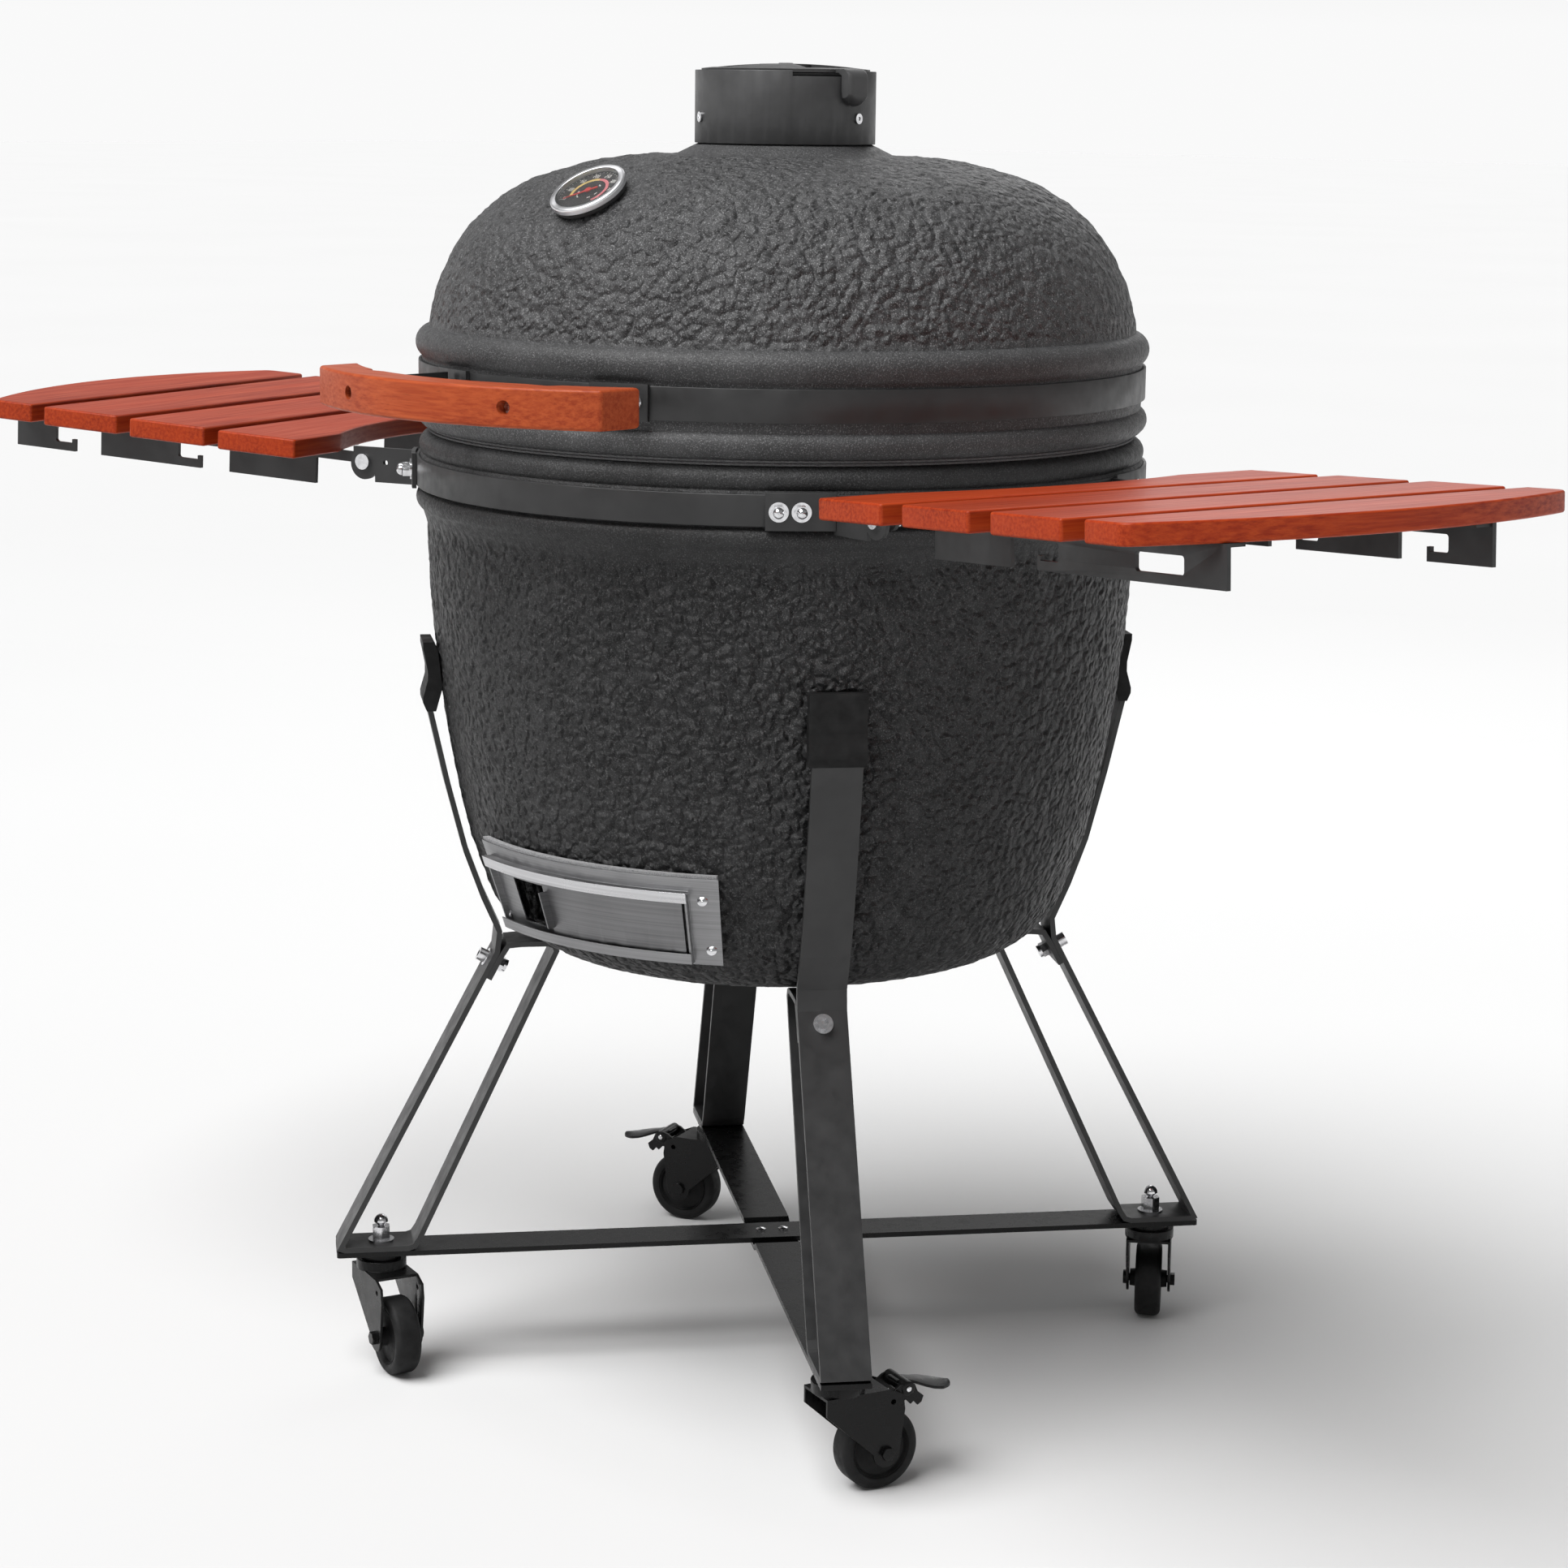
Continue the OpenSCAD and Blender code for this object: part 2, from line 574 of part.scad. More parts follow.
// The other bar dips under the first one at the middle
dip = bar_t + 0.1;
module crossbar_deep() color(black_coat) at_az(leg_az[1]) difference() {
    upright(bar_w) strip([[424, cross_z - bar_t / 2], [40, cross_z - bar_t / 2],
        [30, cross_z - bar_t / 2 - dip], [-30, cross_z - bar_t / 2 - dip],
        [-40, cross_z - bar_t / 2], [-424, cross_z - bar_t / 2]], bar_t);
    for (s = [-1, 1]) translate([0, s * stem_r, 0]) cylinder(d = 10.2, h = 300);
    for (s = [-1, 1]) translate([s * 11, 0, 90]) cylinder(d = 5.1, h = 40);
}
module crossbar_screws() color(chrome) at_az(leg_az[0]) for (s = [-1, 1])
    translate([0, s * 11, cross_z]) pan_screw(5, 14);

// Caster stems: upper race under the crossbar, stem through bar and foot, nut on top
stem_d = 10;
head_gap = 0.3;
head_z0 = 105;
module caster_stems() color(chrome) for (a = leg_az) at_az(a) translate([0, -stem_r, 0]) {
    translate([0, 0, 89]) cylinder(d = 16, h = 4);
    translate([0, 0, 92.5]) cylinder(d = stem_d, h = cross_z + bar_t + 8 - 92.5);
    translate([0, 0, head_z0 + head_gap]) cylinder(d = 38, h = cross_z - bar_t - head_z0 - head_gap);
    translate([0, 0, cross_z + bar_t]) acorn_nut(16, 26);
}

// ---------- casters ----------

axle_z = wheel_d / 2;
fork_w = 44;
fork_t = 2.6;
fork_top = 96;
tyre_w = 26;
hub_w = fork_w - 2 * fork_t - 1;
brake_x = 44;
brake_z = 84;
function stem_xy(i) = stem_r * [sin(leg_az[i]), -cos(leg_az[i])];
// Caster frame: z up the stem, x along the trail, turned to the rest angle
module at_caster(i) translate([stem_xy(i)[0], stem_xy(i)[1], 0]) rotate([0, 0, swivel_rest[i]])
    children();
module fork_cheek() difference() {
    union() {
        polygon([[-22, fork_top], [-22, 80], [trail - 13, axle_z], [trail + 13, axle_z],
                 [56, 76], [54, 90], [40, fork_top]]);
        translate([trail, axle_z]) circle(13, $fn = 48);
    }
    translate([brake_x, brake_z]) circle(d = 5.1, $fn = 24);
}
module caster_fork(i) color(black_coat) at_caster(i) {
    for (s = [-1, 1]) translate([0, s * (fork_w - fork_t) / 2 + fork_t / 2, 0]) rotate([90, 0, 0])
        linear_extrude(fork_t) fork_cheek();
    difference() {
        union() {
            translate([-22, -fork_w / 2, fork_top - 2.6]) cube([62, fork_w, 2.6]);
            translate([0, 0, fork_top - 1]) cylinder(d = 48, h = head_z0 - fork_top + 1);
        }
        cylinder(d = stem_d + 0.1, h = 120);
    }
    // Axle bolt with its head and nut
    translate([trail, 0, axle_z]) rotate([90, 0, 0]) {
        cylinder(d = 8, h = fork_w + 4, center = true);
        translate([0, 0, fork_w / 2]) cylinder(d = 13, h = 4.5, $fn = 6);
        translate([0, 0, -fork_w / 2 - 3.5]) cylinder(d = 14, h = 3.5);
    }
}
module caster_fork_front_left() caster_fork(0);
module caster_fork_front_right() caster_fork(1);
module caster_fork_rear_right() caster_fork(2);
module caster_fork_rear_left() caster_fork(3);

module caster_wheel(i) color(rubber) at_caster(i) translate([trail, 0, axle_z]) rotate([90, 0, 0])
    rotate_extrude() polygon(concat(
            [[4.05, -hub_w / 2], [9, -hub_w / 2], [9, -11], [24, -10], [26, 1 - tyre_w / 2]],
            arc([wheel_d / 2 - 5, 5 - tyre_w / 2], 5, -80, 0, 4),
            arc([wheel_d / 2 - 5, tyre_w / 2 - 5], 5, 0, 80, 4),
            [[26, tyre_w / 2 - 1], [24, 10], [9, 11], [9, hub_w / 2], [4.05, hub_w / 2]]));
module wheel_front_left() caster_wheel(0);
module wheel_front_right() caster_wheel(1);
module wheel_rear_right() caster_wheel(2);
module wheel_rear_left() caster_wheel(3);

// Brake pedal, hinged on a pin through the cheeks of the fork: a rolled tube and a leaf
brake_w = fork_w - 2 * fork_t - 2;
pedal_side = [[-4, 4], [6, 8], [22, 7], [44, 2], [60, -3], [60, -7], [42, -3], [24, 1], [6, -6]];
pedal_leaf = [[0, 10], [14, 8], [24, 10.5], [34, 16.5], [46, 15.5], [57, 8], [60, 4]];
module pedal_shape() polygon(concat(pedal_leaf,
    [for (i = [len(pedal_leaf) - 1:-1:0]) [pedal_leaf[i][0], -pedal_leaf[i][1]]]));
module caster_brake(i) color(black_coat) at_caster(i) translate([brake_x, 0, brake_z])
    rotate([90, 0, 0]) {
        cylinder(r = 7, h = brake_w, center = true);
        intersection() {
            linear_extrude(brake_w, center = true) polygon(pedal_side);
            rotate([90, 0, 0]) linear_extrude(40, center = true) pedal_shape();
        }
        cylinder(d = 5, h = fork_w + 1, center = true);
    }
module brake_front_right() caster_brake(1);
module brake_rear_left() caster_brake(3);

// ---------- lid furniture ----------

vent_r = 83.3;
vent_z0 = 1163.6;
vent_z1 = 1229.3;
slot_a0 = 45.8;
slot_a1 = 98;
module vent_housing() color([0.28, 0.28, 0.29]) difference() {
    union() {
        ring(vent_r - 4.5, vent_r, vent_z0, vent_z1);
        ring(vent_hole_r - 4, vent_hole_r - 0.3, vent_z0 - 18, vent_z0 + 1);
        ring(vent_hole_r - 4, vent_r - 1, vent_z0, vent_z0 + 4);
        translate([0, 0, vent_z1 - 14]) cylinder(r = vent_r - 1, h = 4);
    }
    for (a = [0, 120, 240]) rotate([0, 0, a]) translate([0, 0, vent_z1 - 20]) intersection() {
        ring(22, 70, -1, 20);
        rotate([0, 0, 20]) cube([90, 90, 20]);
        rotate([0, 0, -5]) cube([90, 90, 20]);
    }
    translate([0, 0, vent_z1 - 30]) cylinder(d = 6.1, h = 40);
    ring_part(vent_r - 6, vent_r + 2, vent_z1 - 5.2, vent_z1 + 2, slot_a0, slot_a1);
}
module vent_screws() color(chrome) for (a = [93.7, 213.7, 333.7]) at_az(a)
    translate([0, -vent_r, 1187]) rotate([90, 0, 0]) {
        difference() {
            cylinder(d = 9.5, h = 1.8);
            translate([0, 0, 0.9]) cylinder(d = 4, h = 2, $fn = 6);
        }
        translate([0, 0, -4.4]) cylinder(d = 5, h = 4.8);
    }

// Rotating damper: domed disc with three ports and a lever curled over the rim
lever_a = 86;
cap_r = 480;
cap_a = asin((vent_r - 4.9) / cap_r);
function cap_arc(r, a0, a1) =
    [for (i = [0:6]) let (a = a0 + (a1 - a0) * i / 6)
        [r * sin(a), vent_z1 + 6.5 - cap_r + r * cos(a)]];
module vent_damper() color([0.30, 0.30, 0.31]) {
    difference() {
        rotate_extrude() polygon(concat(cap_arc(cap_r, 0, cap_a), cap_arc(cap_r - 3, cap_a, 0)));
        for (a = [0, 120, 240]) rotate([0, 0, a + 66]) translate([0, 0, vent_z1 - 20]) intersection() {
            ring(22, 70, -1, 40);
            rotate([0, 0, 20]) cube([90, 90, 40]);
            rotate([0, 0, -5]) cube([90, 90, 40]);
        }
    }
    translate([0, 0, vent_z1 - 9.8]) cylinder(d = 16, h = 17);
    translate([0, 0, vent_z1 - 16]) cylinder(d = 6, h = 12);
    at_az(lever_a) upright(24) strip(concat(
        [[vent_r - 12, vent_z1 - 0.8], [vent_r - 3, vent_z1 - 0.6]],
        arc([vent_r + 3.2, vent_z1 - 12], 10.5, 72, 0, 6),
        arc([vent_r + 1.6, vent_z1 - 26], 11.5, 0, -55, 5)), 2.6);
}

// Thermometer: case, dial, lens, probe and needle along its own axis
dial_r = 31;
thermo_h = 12;
module thermometer_case() color(chrome) at_thermo() difference() {
    union() {
        translate([0, 0, 0.5]) cylinder(r = 33.5, h = thermo_h - 4);
        translate([0, 0, thermo_h - 6]) cylinder(r = 35.5, h = 6);
        translate([0, 0, -8]) cylinder(d = 10.6, h = 9);
    }
    translate([0, 0, thermo_h - 7]) cylinder(r = dial_r, h = 20);
    translate([0, 0, -20]) cylinder(d = 6.1, h = 30);
}
module thermometer_dial() color([0.08, 0.08, 0.08]) at_thermo() translate([0, 0, thermo_h - 6.9])
    difference() {
        cylinder(r = dial_r - 0.1, h = 0.8);
        translate([0, 0, -1]) cylinder(d = 2.1, h = 3);
    }
module thermometer_lens() color([0.8, 0.9, 0.95, 0.3]) at_thermo()
    translate([0, 0, thermo_h - 2.2]) cylinder(r = dial_r - 0.1, h = 1.6);
module thermometer_probe() color(steel) at_thermo() translate([0, 0, -80]) cylinder(d = 6, h = 84);
needle_turn = 215;
module thermometer_needle() color([0.85, 0.12, 0.08]) at_thermo() translate([0, 0, thermo_h - 5.2])
    rotate([0, 0, needle_turn]) {
        linear_extrude(0.8) polygon([[-9, -1.2], [24, -0.4], [24, 0.4], [-9, 1.2]]);
        translate([0, 0, -1.4]) cylinder(d = 2, h = 2.4);
        cylinder(d = 6, h = 1.4);
    }

// Handle: bowed wooden bar on two steel arms bolted to the lid band
grip_r = 324;
grip_front = 468;
grip_t = 38;
grip_h = 34;
grip_half = 173;
grip_z = 953;
bolt_x = 95;
seat_y = -416.6;
plate_x = 102.5;
band_nut_a = [15.2, 20.1];
band_nut_z = 951.5;
module handle_grip() color(wood_orange) translate([0, 0, grip_z - grip_h / 2]) difference() {
    linear_extrude(grip_h) intersection() {
        translate([0, grip_r - grip_front]) difference() {
            circle(grip_r, $fn = 180);
            circle(grip_r - grip_t, $fn = 180);
        }
        translate([-grip_half, -grip_front - 5]) square([2 * grip_half, 120]);
    }
    for (s = [0, 1]) mirror([s, 0, 0]) {
        translate([bolt_x - 14, seat_y, -1]) cube([30, 60, grip_h + 2]);
        translate([bolt_x, 0, grip_h / 2]) rotate([90, 0, 0]) {
            cylinder(d = 6.4, h = 600);
            translate([0, 0, grip_front - 26]) cylinder(d = 12, h = 100);
        }
    }
}
// Bracket: foot on the lid band, arm outward, and a seat turned in behind the grip
module handle_bracket(s) color(black_coat) mirror([s < 0 ? 1 : 0, 0, 0]) difference() {
    union() {
        ring_part(lid_band_r + 0.2, lid_band_r + 4.2, 935, 966.5, 12.8, 22.1);
        translate([plate_x, seat_y + 0.1, 938]) cube([3.5, -seat_y - 330, 26]);
        translate([bolt_x - 11, seat_y + 0.1, 938]) cube([plate_x - bolt_x + 12, 4, 26]);
    }
    for (a = band_nut_a) on_band(lid_band_r - 5, band_nut_z, a) cylinder(d = 6.2, h = 20);
    translate([bolt_x, -380, grip_z]) rotate([90, 0, 0]) cylinder(d = 6.2, h = 60);
    cylinder(r = lid_band_r + 0.2, h = 1000);
}
module handle_bracket_left() handle_bracket(-1);
module handle_bracket_right() handle_bracket(1);
module handle_bolts() color(chrome) for (s = [-1, 1]) {
    for (a = band_nut_a) on_band(lid_band_r + 4.2, band_nut_z, s * a) {
        acorn_nut(9, 11);
        translate([0, 0, -4]) cylinder(d = 6, h = 5);
    }
    translate([s * bolt_x, 0, grip_z]) rotate([90, 0, 0]) {
        translate([0, 0, 404]) cylinder(d = 6, h = grip_front - 25 - 404);
        translate([0, 0, grip_front - 25.9]) cylinder(d = 11, h = 5, $fn = 6);
        translate([0, 0, -seat_y - 9.2]) cylinder(d = 11, h = 5, $fn = 6);
    }
}

placed() base_bowl();
placed() base_band();
placed() base_gasket();
placed() firebox();
placed() fire_ring();
placed() charcoal_grate();
placed() cooking_grate();
placed() draft_frame();
placed() draft_gasket();
placed() draft_screws();
placed() hinge_lower();
placed() hinge_pin();
placed() hinge_springs();
placed() shelf_arms_left();
placed() shelf_arms_right();
placed() shelf_pivots();
placed() base_band_nuts();
placed() leg_front_left();
placed() leg_front_right();
placed() leg_rear_right();
placed() leg_rear_left();
placed() leg_pads();
placed() leg_bolts();
placed() crossbar_wide();
placed() crossbar_deep();
placed() crossbar_screws();
placed() caster_stems();
placed() lid_dome();
placed() lid_band();
placed() lid_gasket();
placed() vent_housing();
placed() vent_screws();
placed() thermometer_case();
placed() thermometer_dial();
placed() thermometer_lens();
placed() thermometer_probe();
placed() handle_grip();
placed() handle_bracket_left();
placed() handle_bracket_right();
placed() handle_bolts();
placed() hinge_upper();
placed() vent_damper();
placed() thermometer_needle();
placed() draft_door();
placed() draft_screen();
placed() shelf_slats_left();
placed() shelf_brackets_left();
placed() shelf_slats_right();
placed() shelf_brackets_right();
placed() caster_fork_front_left();
placed() caster_fork_front_right();
placed() caster_fork_rear_right();
placed() caster_fork_rear_left();
placed() wheel_front_left();
placed() wheel_front_right();
placed() wheel_rear_right();
placed() wheel_rear_left();
placed() brake_front_right();
placed() brake_rear_left();
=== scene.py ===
import json
import math

import bmesh
import bpy
from mathutils import Matrix, Vector, noise

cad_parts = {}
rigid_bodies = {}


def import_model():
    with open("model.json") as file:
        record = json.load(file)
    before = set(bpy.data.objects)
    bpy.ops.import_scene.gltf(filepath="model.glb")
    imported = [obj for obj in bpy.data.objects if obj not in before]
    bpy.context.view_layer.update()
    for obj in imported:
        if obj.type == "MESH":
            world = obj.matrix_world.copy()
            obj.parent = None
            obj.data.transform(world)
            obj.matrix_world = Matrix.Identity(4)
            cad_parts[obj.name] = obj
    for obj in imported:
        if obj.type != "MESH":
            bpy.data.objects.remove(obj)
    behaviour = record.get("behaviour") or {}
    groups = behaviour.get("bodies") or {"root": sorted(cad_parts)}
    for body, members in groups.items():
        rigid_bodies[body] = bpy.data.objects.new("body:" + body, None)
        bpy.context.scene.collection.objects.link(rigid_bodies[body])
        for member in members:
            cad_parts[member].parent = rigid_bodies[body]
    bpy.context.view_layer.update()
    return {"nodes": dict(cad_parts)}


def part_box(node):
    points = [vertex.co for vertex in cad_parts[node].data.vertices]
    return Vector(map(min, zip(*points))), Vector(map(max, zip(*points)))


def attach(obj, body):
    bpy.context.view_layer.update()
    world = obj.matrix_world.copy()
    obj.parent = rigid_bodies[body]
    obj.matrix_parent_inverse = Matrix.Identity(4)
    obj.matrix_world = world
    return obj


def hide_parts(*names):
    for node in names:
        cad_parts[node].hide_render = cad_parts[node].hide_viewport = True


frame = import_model()
NODES = frame["nodes"]
MM = 0.001
CORNERS = ("front_left", "front_right", "rear_right", "rear_left")
# The body axis: everything below is placed from it, so it comes from the lid band's own box
BAND_LOW, BAND_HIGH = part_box("lid_band")
AXIS = Vector(((BAND_LOW.x + BAND_HIGH.x) / 2, (BAND_LOW.y + BAND_HIGH.y) / 2, 0))


# ---------- camera ----------

CAMERA_AZIMUTH = 41.45
CAMERA_DISTANCE = 3.288
CAMERA_HEIGHT = 1.2093
CAMERA_YAW = -0.11
CAMERA_PITCH = 11.15
CAMERA_ROLL = 0.70
SENSOR_MM = 36
LENS_MM = 80.5


def make_camera():
    """A long lens at the right front of the grill, a little above the lid and rolled slightly."""
    data = bpy.data.cameras.new("camera")
    data.sensor_width = SENSOR_MM
    data.lens = LENS_MM
    camera = bpy.data.objects.new("camera", data)
    bpy.context.scene.collection.objects.link(camera)
    stand = math.radians(CAMERA_AZIMUTH)
    heading = math.radians(CAMERA_AZIMUTH + CAMERA_YAW)
    pitch = math.radians(CAMERA_PITCH)
    roll = math.radians(CAMERA_ROLL)
    ahead = Vector((-math.sin(heading), math.cos(heading), 0))
    right = Vector((math.cos(heading), math.sin(heading), 0))
    forward = ahead * math.cos(pitch) - Vector((0, 0, math.sin(pitch)))
    up = ahead * math.sin(pitch) + Vector((0, 0, math.cos(pitch)))
    x_axis = right * math.cos(roll) + up * math.sin(roll)
    y_axis = up * math.cos(roll) - right * math.sin(roll)
    turn = Matrix((x_axis, y_axis, -forward)).transposed().to_4x4()
    away = Vector((math.sin(stand), -math.cos(stand), 0)) * CAMERA_DISTANCE
    place = AXIS + away + Vector((0, 0, CAMERA_HEIGHT))
    camera.matrix_world = Matrix.Translation(place) @ turn
    bpy.context.scene.camera = camera


# ---------- shader helpers ----------

class Finish:
    """A Principled material whose patterns are built from procedural nodes in object space."""

    def __init__(self, name, colour, roughness, **sockets):
        self.material = bpy.data.materials.new(name)
        self.material.use_nodes = True
        self.nodes = self.material.node_tree.nodes
        self.links = self.material.node_tree.links
        self.shader = self.nodes["Principled BSDF"]
        self.shader.inputs["Base Color"].default_value = (*colour, 1)
        self.shader.inputs["Roughness"].default_value = roughness
        for socket, value in sockets.items():
            self.shader.inputs[socket.replace("_", " ")].default_value = value
        self.material.diffuse_color = (*colour, 1)
        self.place = self.nodes.new("ShaderNodeTexCoord").outputs["Object"]

    def stretched(self, scale):
        """Object coordinates multiplied by scale on each axis."""
        node = self.nodes.new("ShaderNodeMapping")
        node.inputs["Scale"].default_value = scale
        self.links.new(self.place, node.inputs["Vector"])
        return node.outputs["Vector"]

    def noise(self, scale, detail=2.0, stretch=None, distortion=0.0, roughness=0.5):
        node = self.nodes.new("ShaderNodeTexNoise")
        node.inputs["Scale"].default_value = scale
        node.inputs["Detail"].default_value = detail
        node.inputs["Distortion"].default_value = distortion
        node.inputs["Roughness"].default_value = roughness
        self.links.new(self.stretched(stretch) if stretch else self.place, node.inputs["Vector"])
        return node.outputs["Fac"]

    def cells(self, scale, warp):
        """Distance to the middle of rounded cells, on coordinates pushed about by a noise."""
        push = self.nodes.new("ShaderNodeVectorMath")
        push.operation = "MULTIPLY_ADD"
        swirl = self.nodes.new("ShaderNodeTexNoise")
        swirl.inputs["Scale"].default_value = scale * 0.7
        swirl.inputs["Detail"].default_value = 1.0
        self.links.new(self.place, swirl.inputs["Vector"])
        self.links.new(swirl.outputs["Color"], push.inputs[0])
        push.inputs[1].default_value = (warp, warp, warp)
        self.links.new(self.place, push.inputs[2])
        node = self.nodes.new("ShaderNodeTexVoronoi")
        node.feature = "SMOOTH_F1"
        node.inputs["Scale"].default_value = scale
        node.inputs["Smoothness"].default_value = 0.45
        self.links.new(push.outputs["Vector"], node.inputs["Vector"])
        return node.outputs["Distance"]

    def attribute(self, name):
        """A number stored on the mesh's points."""
        node = self.nodes.new("ShaderNodeAttribute")
        node.attribute_name = name
        return node.outputs["Fac"]

    def remap(self, value, low, high, to_low=0.0, to_high=1.0):
        node = self.nodes.new("ShaderNodeMapRange")
        node.inputs["From Min"].default_value = low
        node.inputs["From Max"].default_value = high
        node.inputs["To Min"].default_value = to_low
        node.inputs["To Max"].default_value = to_high
        self.links.new(value, node.inputs["Value"])
        return node.outputs["Result"]

    def maths(self, operation, first, second):
        node = self.nodes.new("ShaderNodeMath")
        node.operation = operation
        self.feed(first, node.inputs[0])
        self.feed(second, node.inputs[1])
        return node.outputs["Value"]

    def feed(self, source, socket):
        if isinstance(source, (int, float)):
            socket.default_value = source
        elif isinstance(source, tuple):
            socket.default_value = (*source, 1)
        else:
            self.links.new(source, socket)

    def blend(self, factor, first, second):
        node = self.nodes.new("ShaderNodeMix")
        node.data_type = "RGBA"
        self.feed(factor, node.inputs[0])
        self.feed(first, node.inputs[6])
        self.feed(second, node.inputs[7])
        return node.outputs[2]

    def colour(self, source):
        self.links.new(source, self.shader.inputs["Base Color"])

    def roughness(self, source):
        self.links.new(source, self.shader.inputs["Roughness"])

    def bump(self, height, depth):
        """Relief of the given depth in metres, added to any bump made before it."""
        node = self.nodes.new("ShaderNodeBump")
        node.inputs["Strength"].default_value = 1.0
        node.inputs["Distance"].default_value = depth
        self.links.new(height, node.inputs["Height"])
        normal = self.shader.inputs["Normal"]
        if normal.links:
            self.links.new(normal.links[0].from_socket, node.inputs["Normal"])
        self.links.new(node.outputs["Normal"], normal)


def grey(value):
    return (value, value, value * 1.02)


# ---------- finishes ----------

def ceramic_finish(name, dark, light, relief_depth):
    """Matt charcoal glaze: hammered relief where the cast is rough, and fine bright specks painted
    into its colour as highlights.
    """
    f = Finish(name, grey(light), 0.55, Specular_IOR_Level=0.28)
    rough_cast = f.attribute("rough_cast")
    base = f.blend(f.remap(f.noise(30, 4), 0.30, 0.70), grey(dark), grey(light))
    # Tiny bright specks painted into the colour as highlights of the glaze, stronger where the cast
    # is rough
    glint_specks = f.remap(f.noise(900, 2), 0.55, 0.68)
    fade_in = f.remap(rough_cast, 0.0, 1.0, 0.45, 0.75)
    f.colour(f.blend(f.maths("MULTIPLY", glint_specks, fade_in), base, grey(light * 5)))
    f.roughness(f.remap(f.noise(210, 3), 0.32, 0.68, 0.40, 0.62))
    cells = f.maths("MULTIPLY", f.cells(120, 0.010), -1.0)
    blobs = f.maths("ADD", cells, f.maths("MULTIPLY", f.noise(90, 1.5), 0.5))
    f.bump(f.maths("MULTIPLY", blobs, rough_cast), relief_depth)
    f.bump(f.noise(420, 3, roughness=0.6), 0.0009)
    f.bump(f.noise(1500, 1), 0.0002)
    return f.material


def refractory_finish():
    """Pale fired clay with darker specks and soot."""
    f = Finish("refractory_clay", (0.36, 0.31, 0.24), 0.9)
    soot = f.remap(f.noise(9, 5), 0.42, 0.70)
    clay = f.blend(f.remap(f.noise(420, 2), 0.55, 0.70), (0.40, 0.34, 0.26), (0.20, 0.17, 0.13))
    f.colour(f.blend(f.maths("MULTIPLY", soot, 0.6), clay, (0.07, 0.06, 0.055)))
    f.bump(f.noise(300, 4), 0.0012)
    return f.material


def coat_finish(name, tone, roughness, grain, depth, shine=0.5):
    """Black coated metal: a fine orange peel, with faint patches and a slight sheen change."""
    f = Finish(name, grey(tone), roughness, Specular_IOR_Level=shine)
    f.colour(f.blend(f.remap(f.noise(26, 4), 0.35, 0.65), grey(tone * 0.8), grey(tone * 1.25)))
    f.roughness(f.remap(f.noise(70, 3), 0.3, 0.7, roughness - 0.06, roughness + 0.08))
    f.bump(f.noise(grain, 2), depth)
    return f.material


def steel_finish(name, tone, roughness, stretch):
    """Brushed stainless steel: fine lines drawn along one direction, and a few marks."""
    f = Finish(name, grey(tone), roughness, Metallic=1.0, Anisotropic=0.4)
    lines = f.noise(1.0, 3, stretch=stretch)
    f.colour(f.blend(f.remap(lines, 0.3, 0.7), grey(tone * 0.82), grey(tone * 1.08)))
    f.roughness(f.remap(f.noise(30, 4), 0.3, 0.7, roughness - 0.08, roughness + 0.12))
    f.bump(lines, 0.00006)
    return f.material


def chrome_finish():
    f = Finish("chrome_plate", grey(0.72), 0.14, Metallic=1.0)
    f.colour(f.blend(f.remap(f.noise(240, 3), 0.35, 0.65), grey(0.62), grey(0.78)))
    f.roughness(f.remap(f.noise(500, 2), 0.35, 0.65, 0.09, 0.22))
    f.bump(f.noise(900, 2), 0.00003)
    return f.material


def wood_finish(name, light, mid, dark, gloss):
    """Stained and varnished softwood with its grain along the local X axis."""
    f = Finish(name, mid, gloss, Specular_IOR_Level=0.12, Coat_Weight=0.05, Coat_Roughness=0.22)
    broad = f.noise(1.0, 3, stretch=(1.6, 22, 22), distortion=0.6)
    fine = f.noise(1.0, 4, stretch=(9, 330, 330), roughness=0.62)
    pores = f.remap(f.noise(1.0, 2, stretch=(45, 1200, 1200)), 0.60, 0.75)
    blotch = f.noise(5.5, 2)
    tone = f.blend(f.remap(broad, 0.30, 0.70), dark, mid)
    tone = f.blend(f.remap(fine, 0.36, 0.66, 0.0, 0.75), tone, light)
    tone = f.blend(f.remap(blotch, 0.35, 0.65, 0.0, 0.35), tone, mid)
    f.colour(f.blend(f.maths("MULTIPLY", pores, 0.35), tone, tuple(c * 0.35 for c in dark)))
    f.roughness(f.remap(fine, 0.3, 0.7, gloss + 0.08, gloss - 0.05))
    f.bump(fine, 0.00012)
    return f.material


def rubber_finish():
    f = Finish("black_rubber", grey(0.008), 0.62, Specular_IOR_Level=0.2)
    f.colour(f.blend(f.remap(f.noise(55, 4), 0.4, 0.7), grey(0.006), grey(0.013)))
    f.roughness(f.remap(f.noise(120, 3), 0.3, 0.7, 0.5, 0.75))
    f.bump(f.noise(1100, 2), 0.00006)
    return f.material


def felt_finish(name, tone):
    """Heat felt: short matted fibres in two tones."""
    f = Finish(name, grey(tone), 0.95)
    fibre = f.noise(700, 4, distortion=1.5, roughness=0.7)
    f.colour(f.blend(f.remap(fibre, 0.35, 0.65), grey(tone * 0.55), grey(tone * 1.35)))
    f.bump(fibre, 0.0006)
    return f.material


def paint_finish(name, colour):
    f = Finish(name, colour, 0.45)
    shade = tuple(c * 0.82 for c in colour)
    f.colour(f.blend(f.remap(f.noise(900, 2), 0.35, 0.65), colour, shade))
    f.bump(f.noise(1400, 1), 0.00001)
    return f.material


def lens_finish():
    f = Finish("lens_glass", (1, 1, 1), 0.03, Transmission_Weight=1.0, IOR=1.45)
    f.roughness(f.remap(f.noise(60, 3), 0.35, 0.7, 0.01, 0.06))
    return f.material


# ---------- mesh helpers ----------

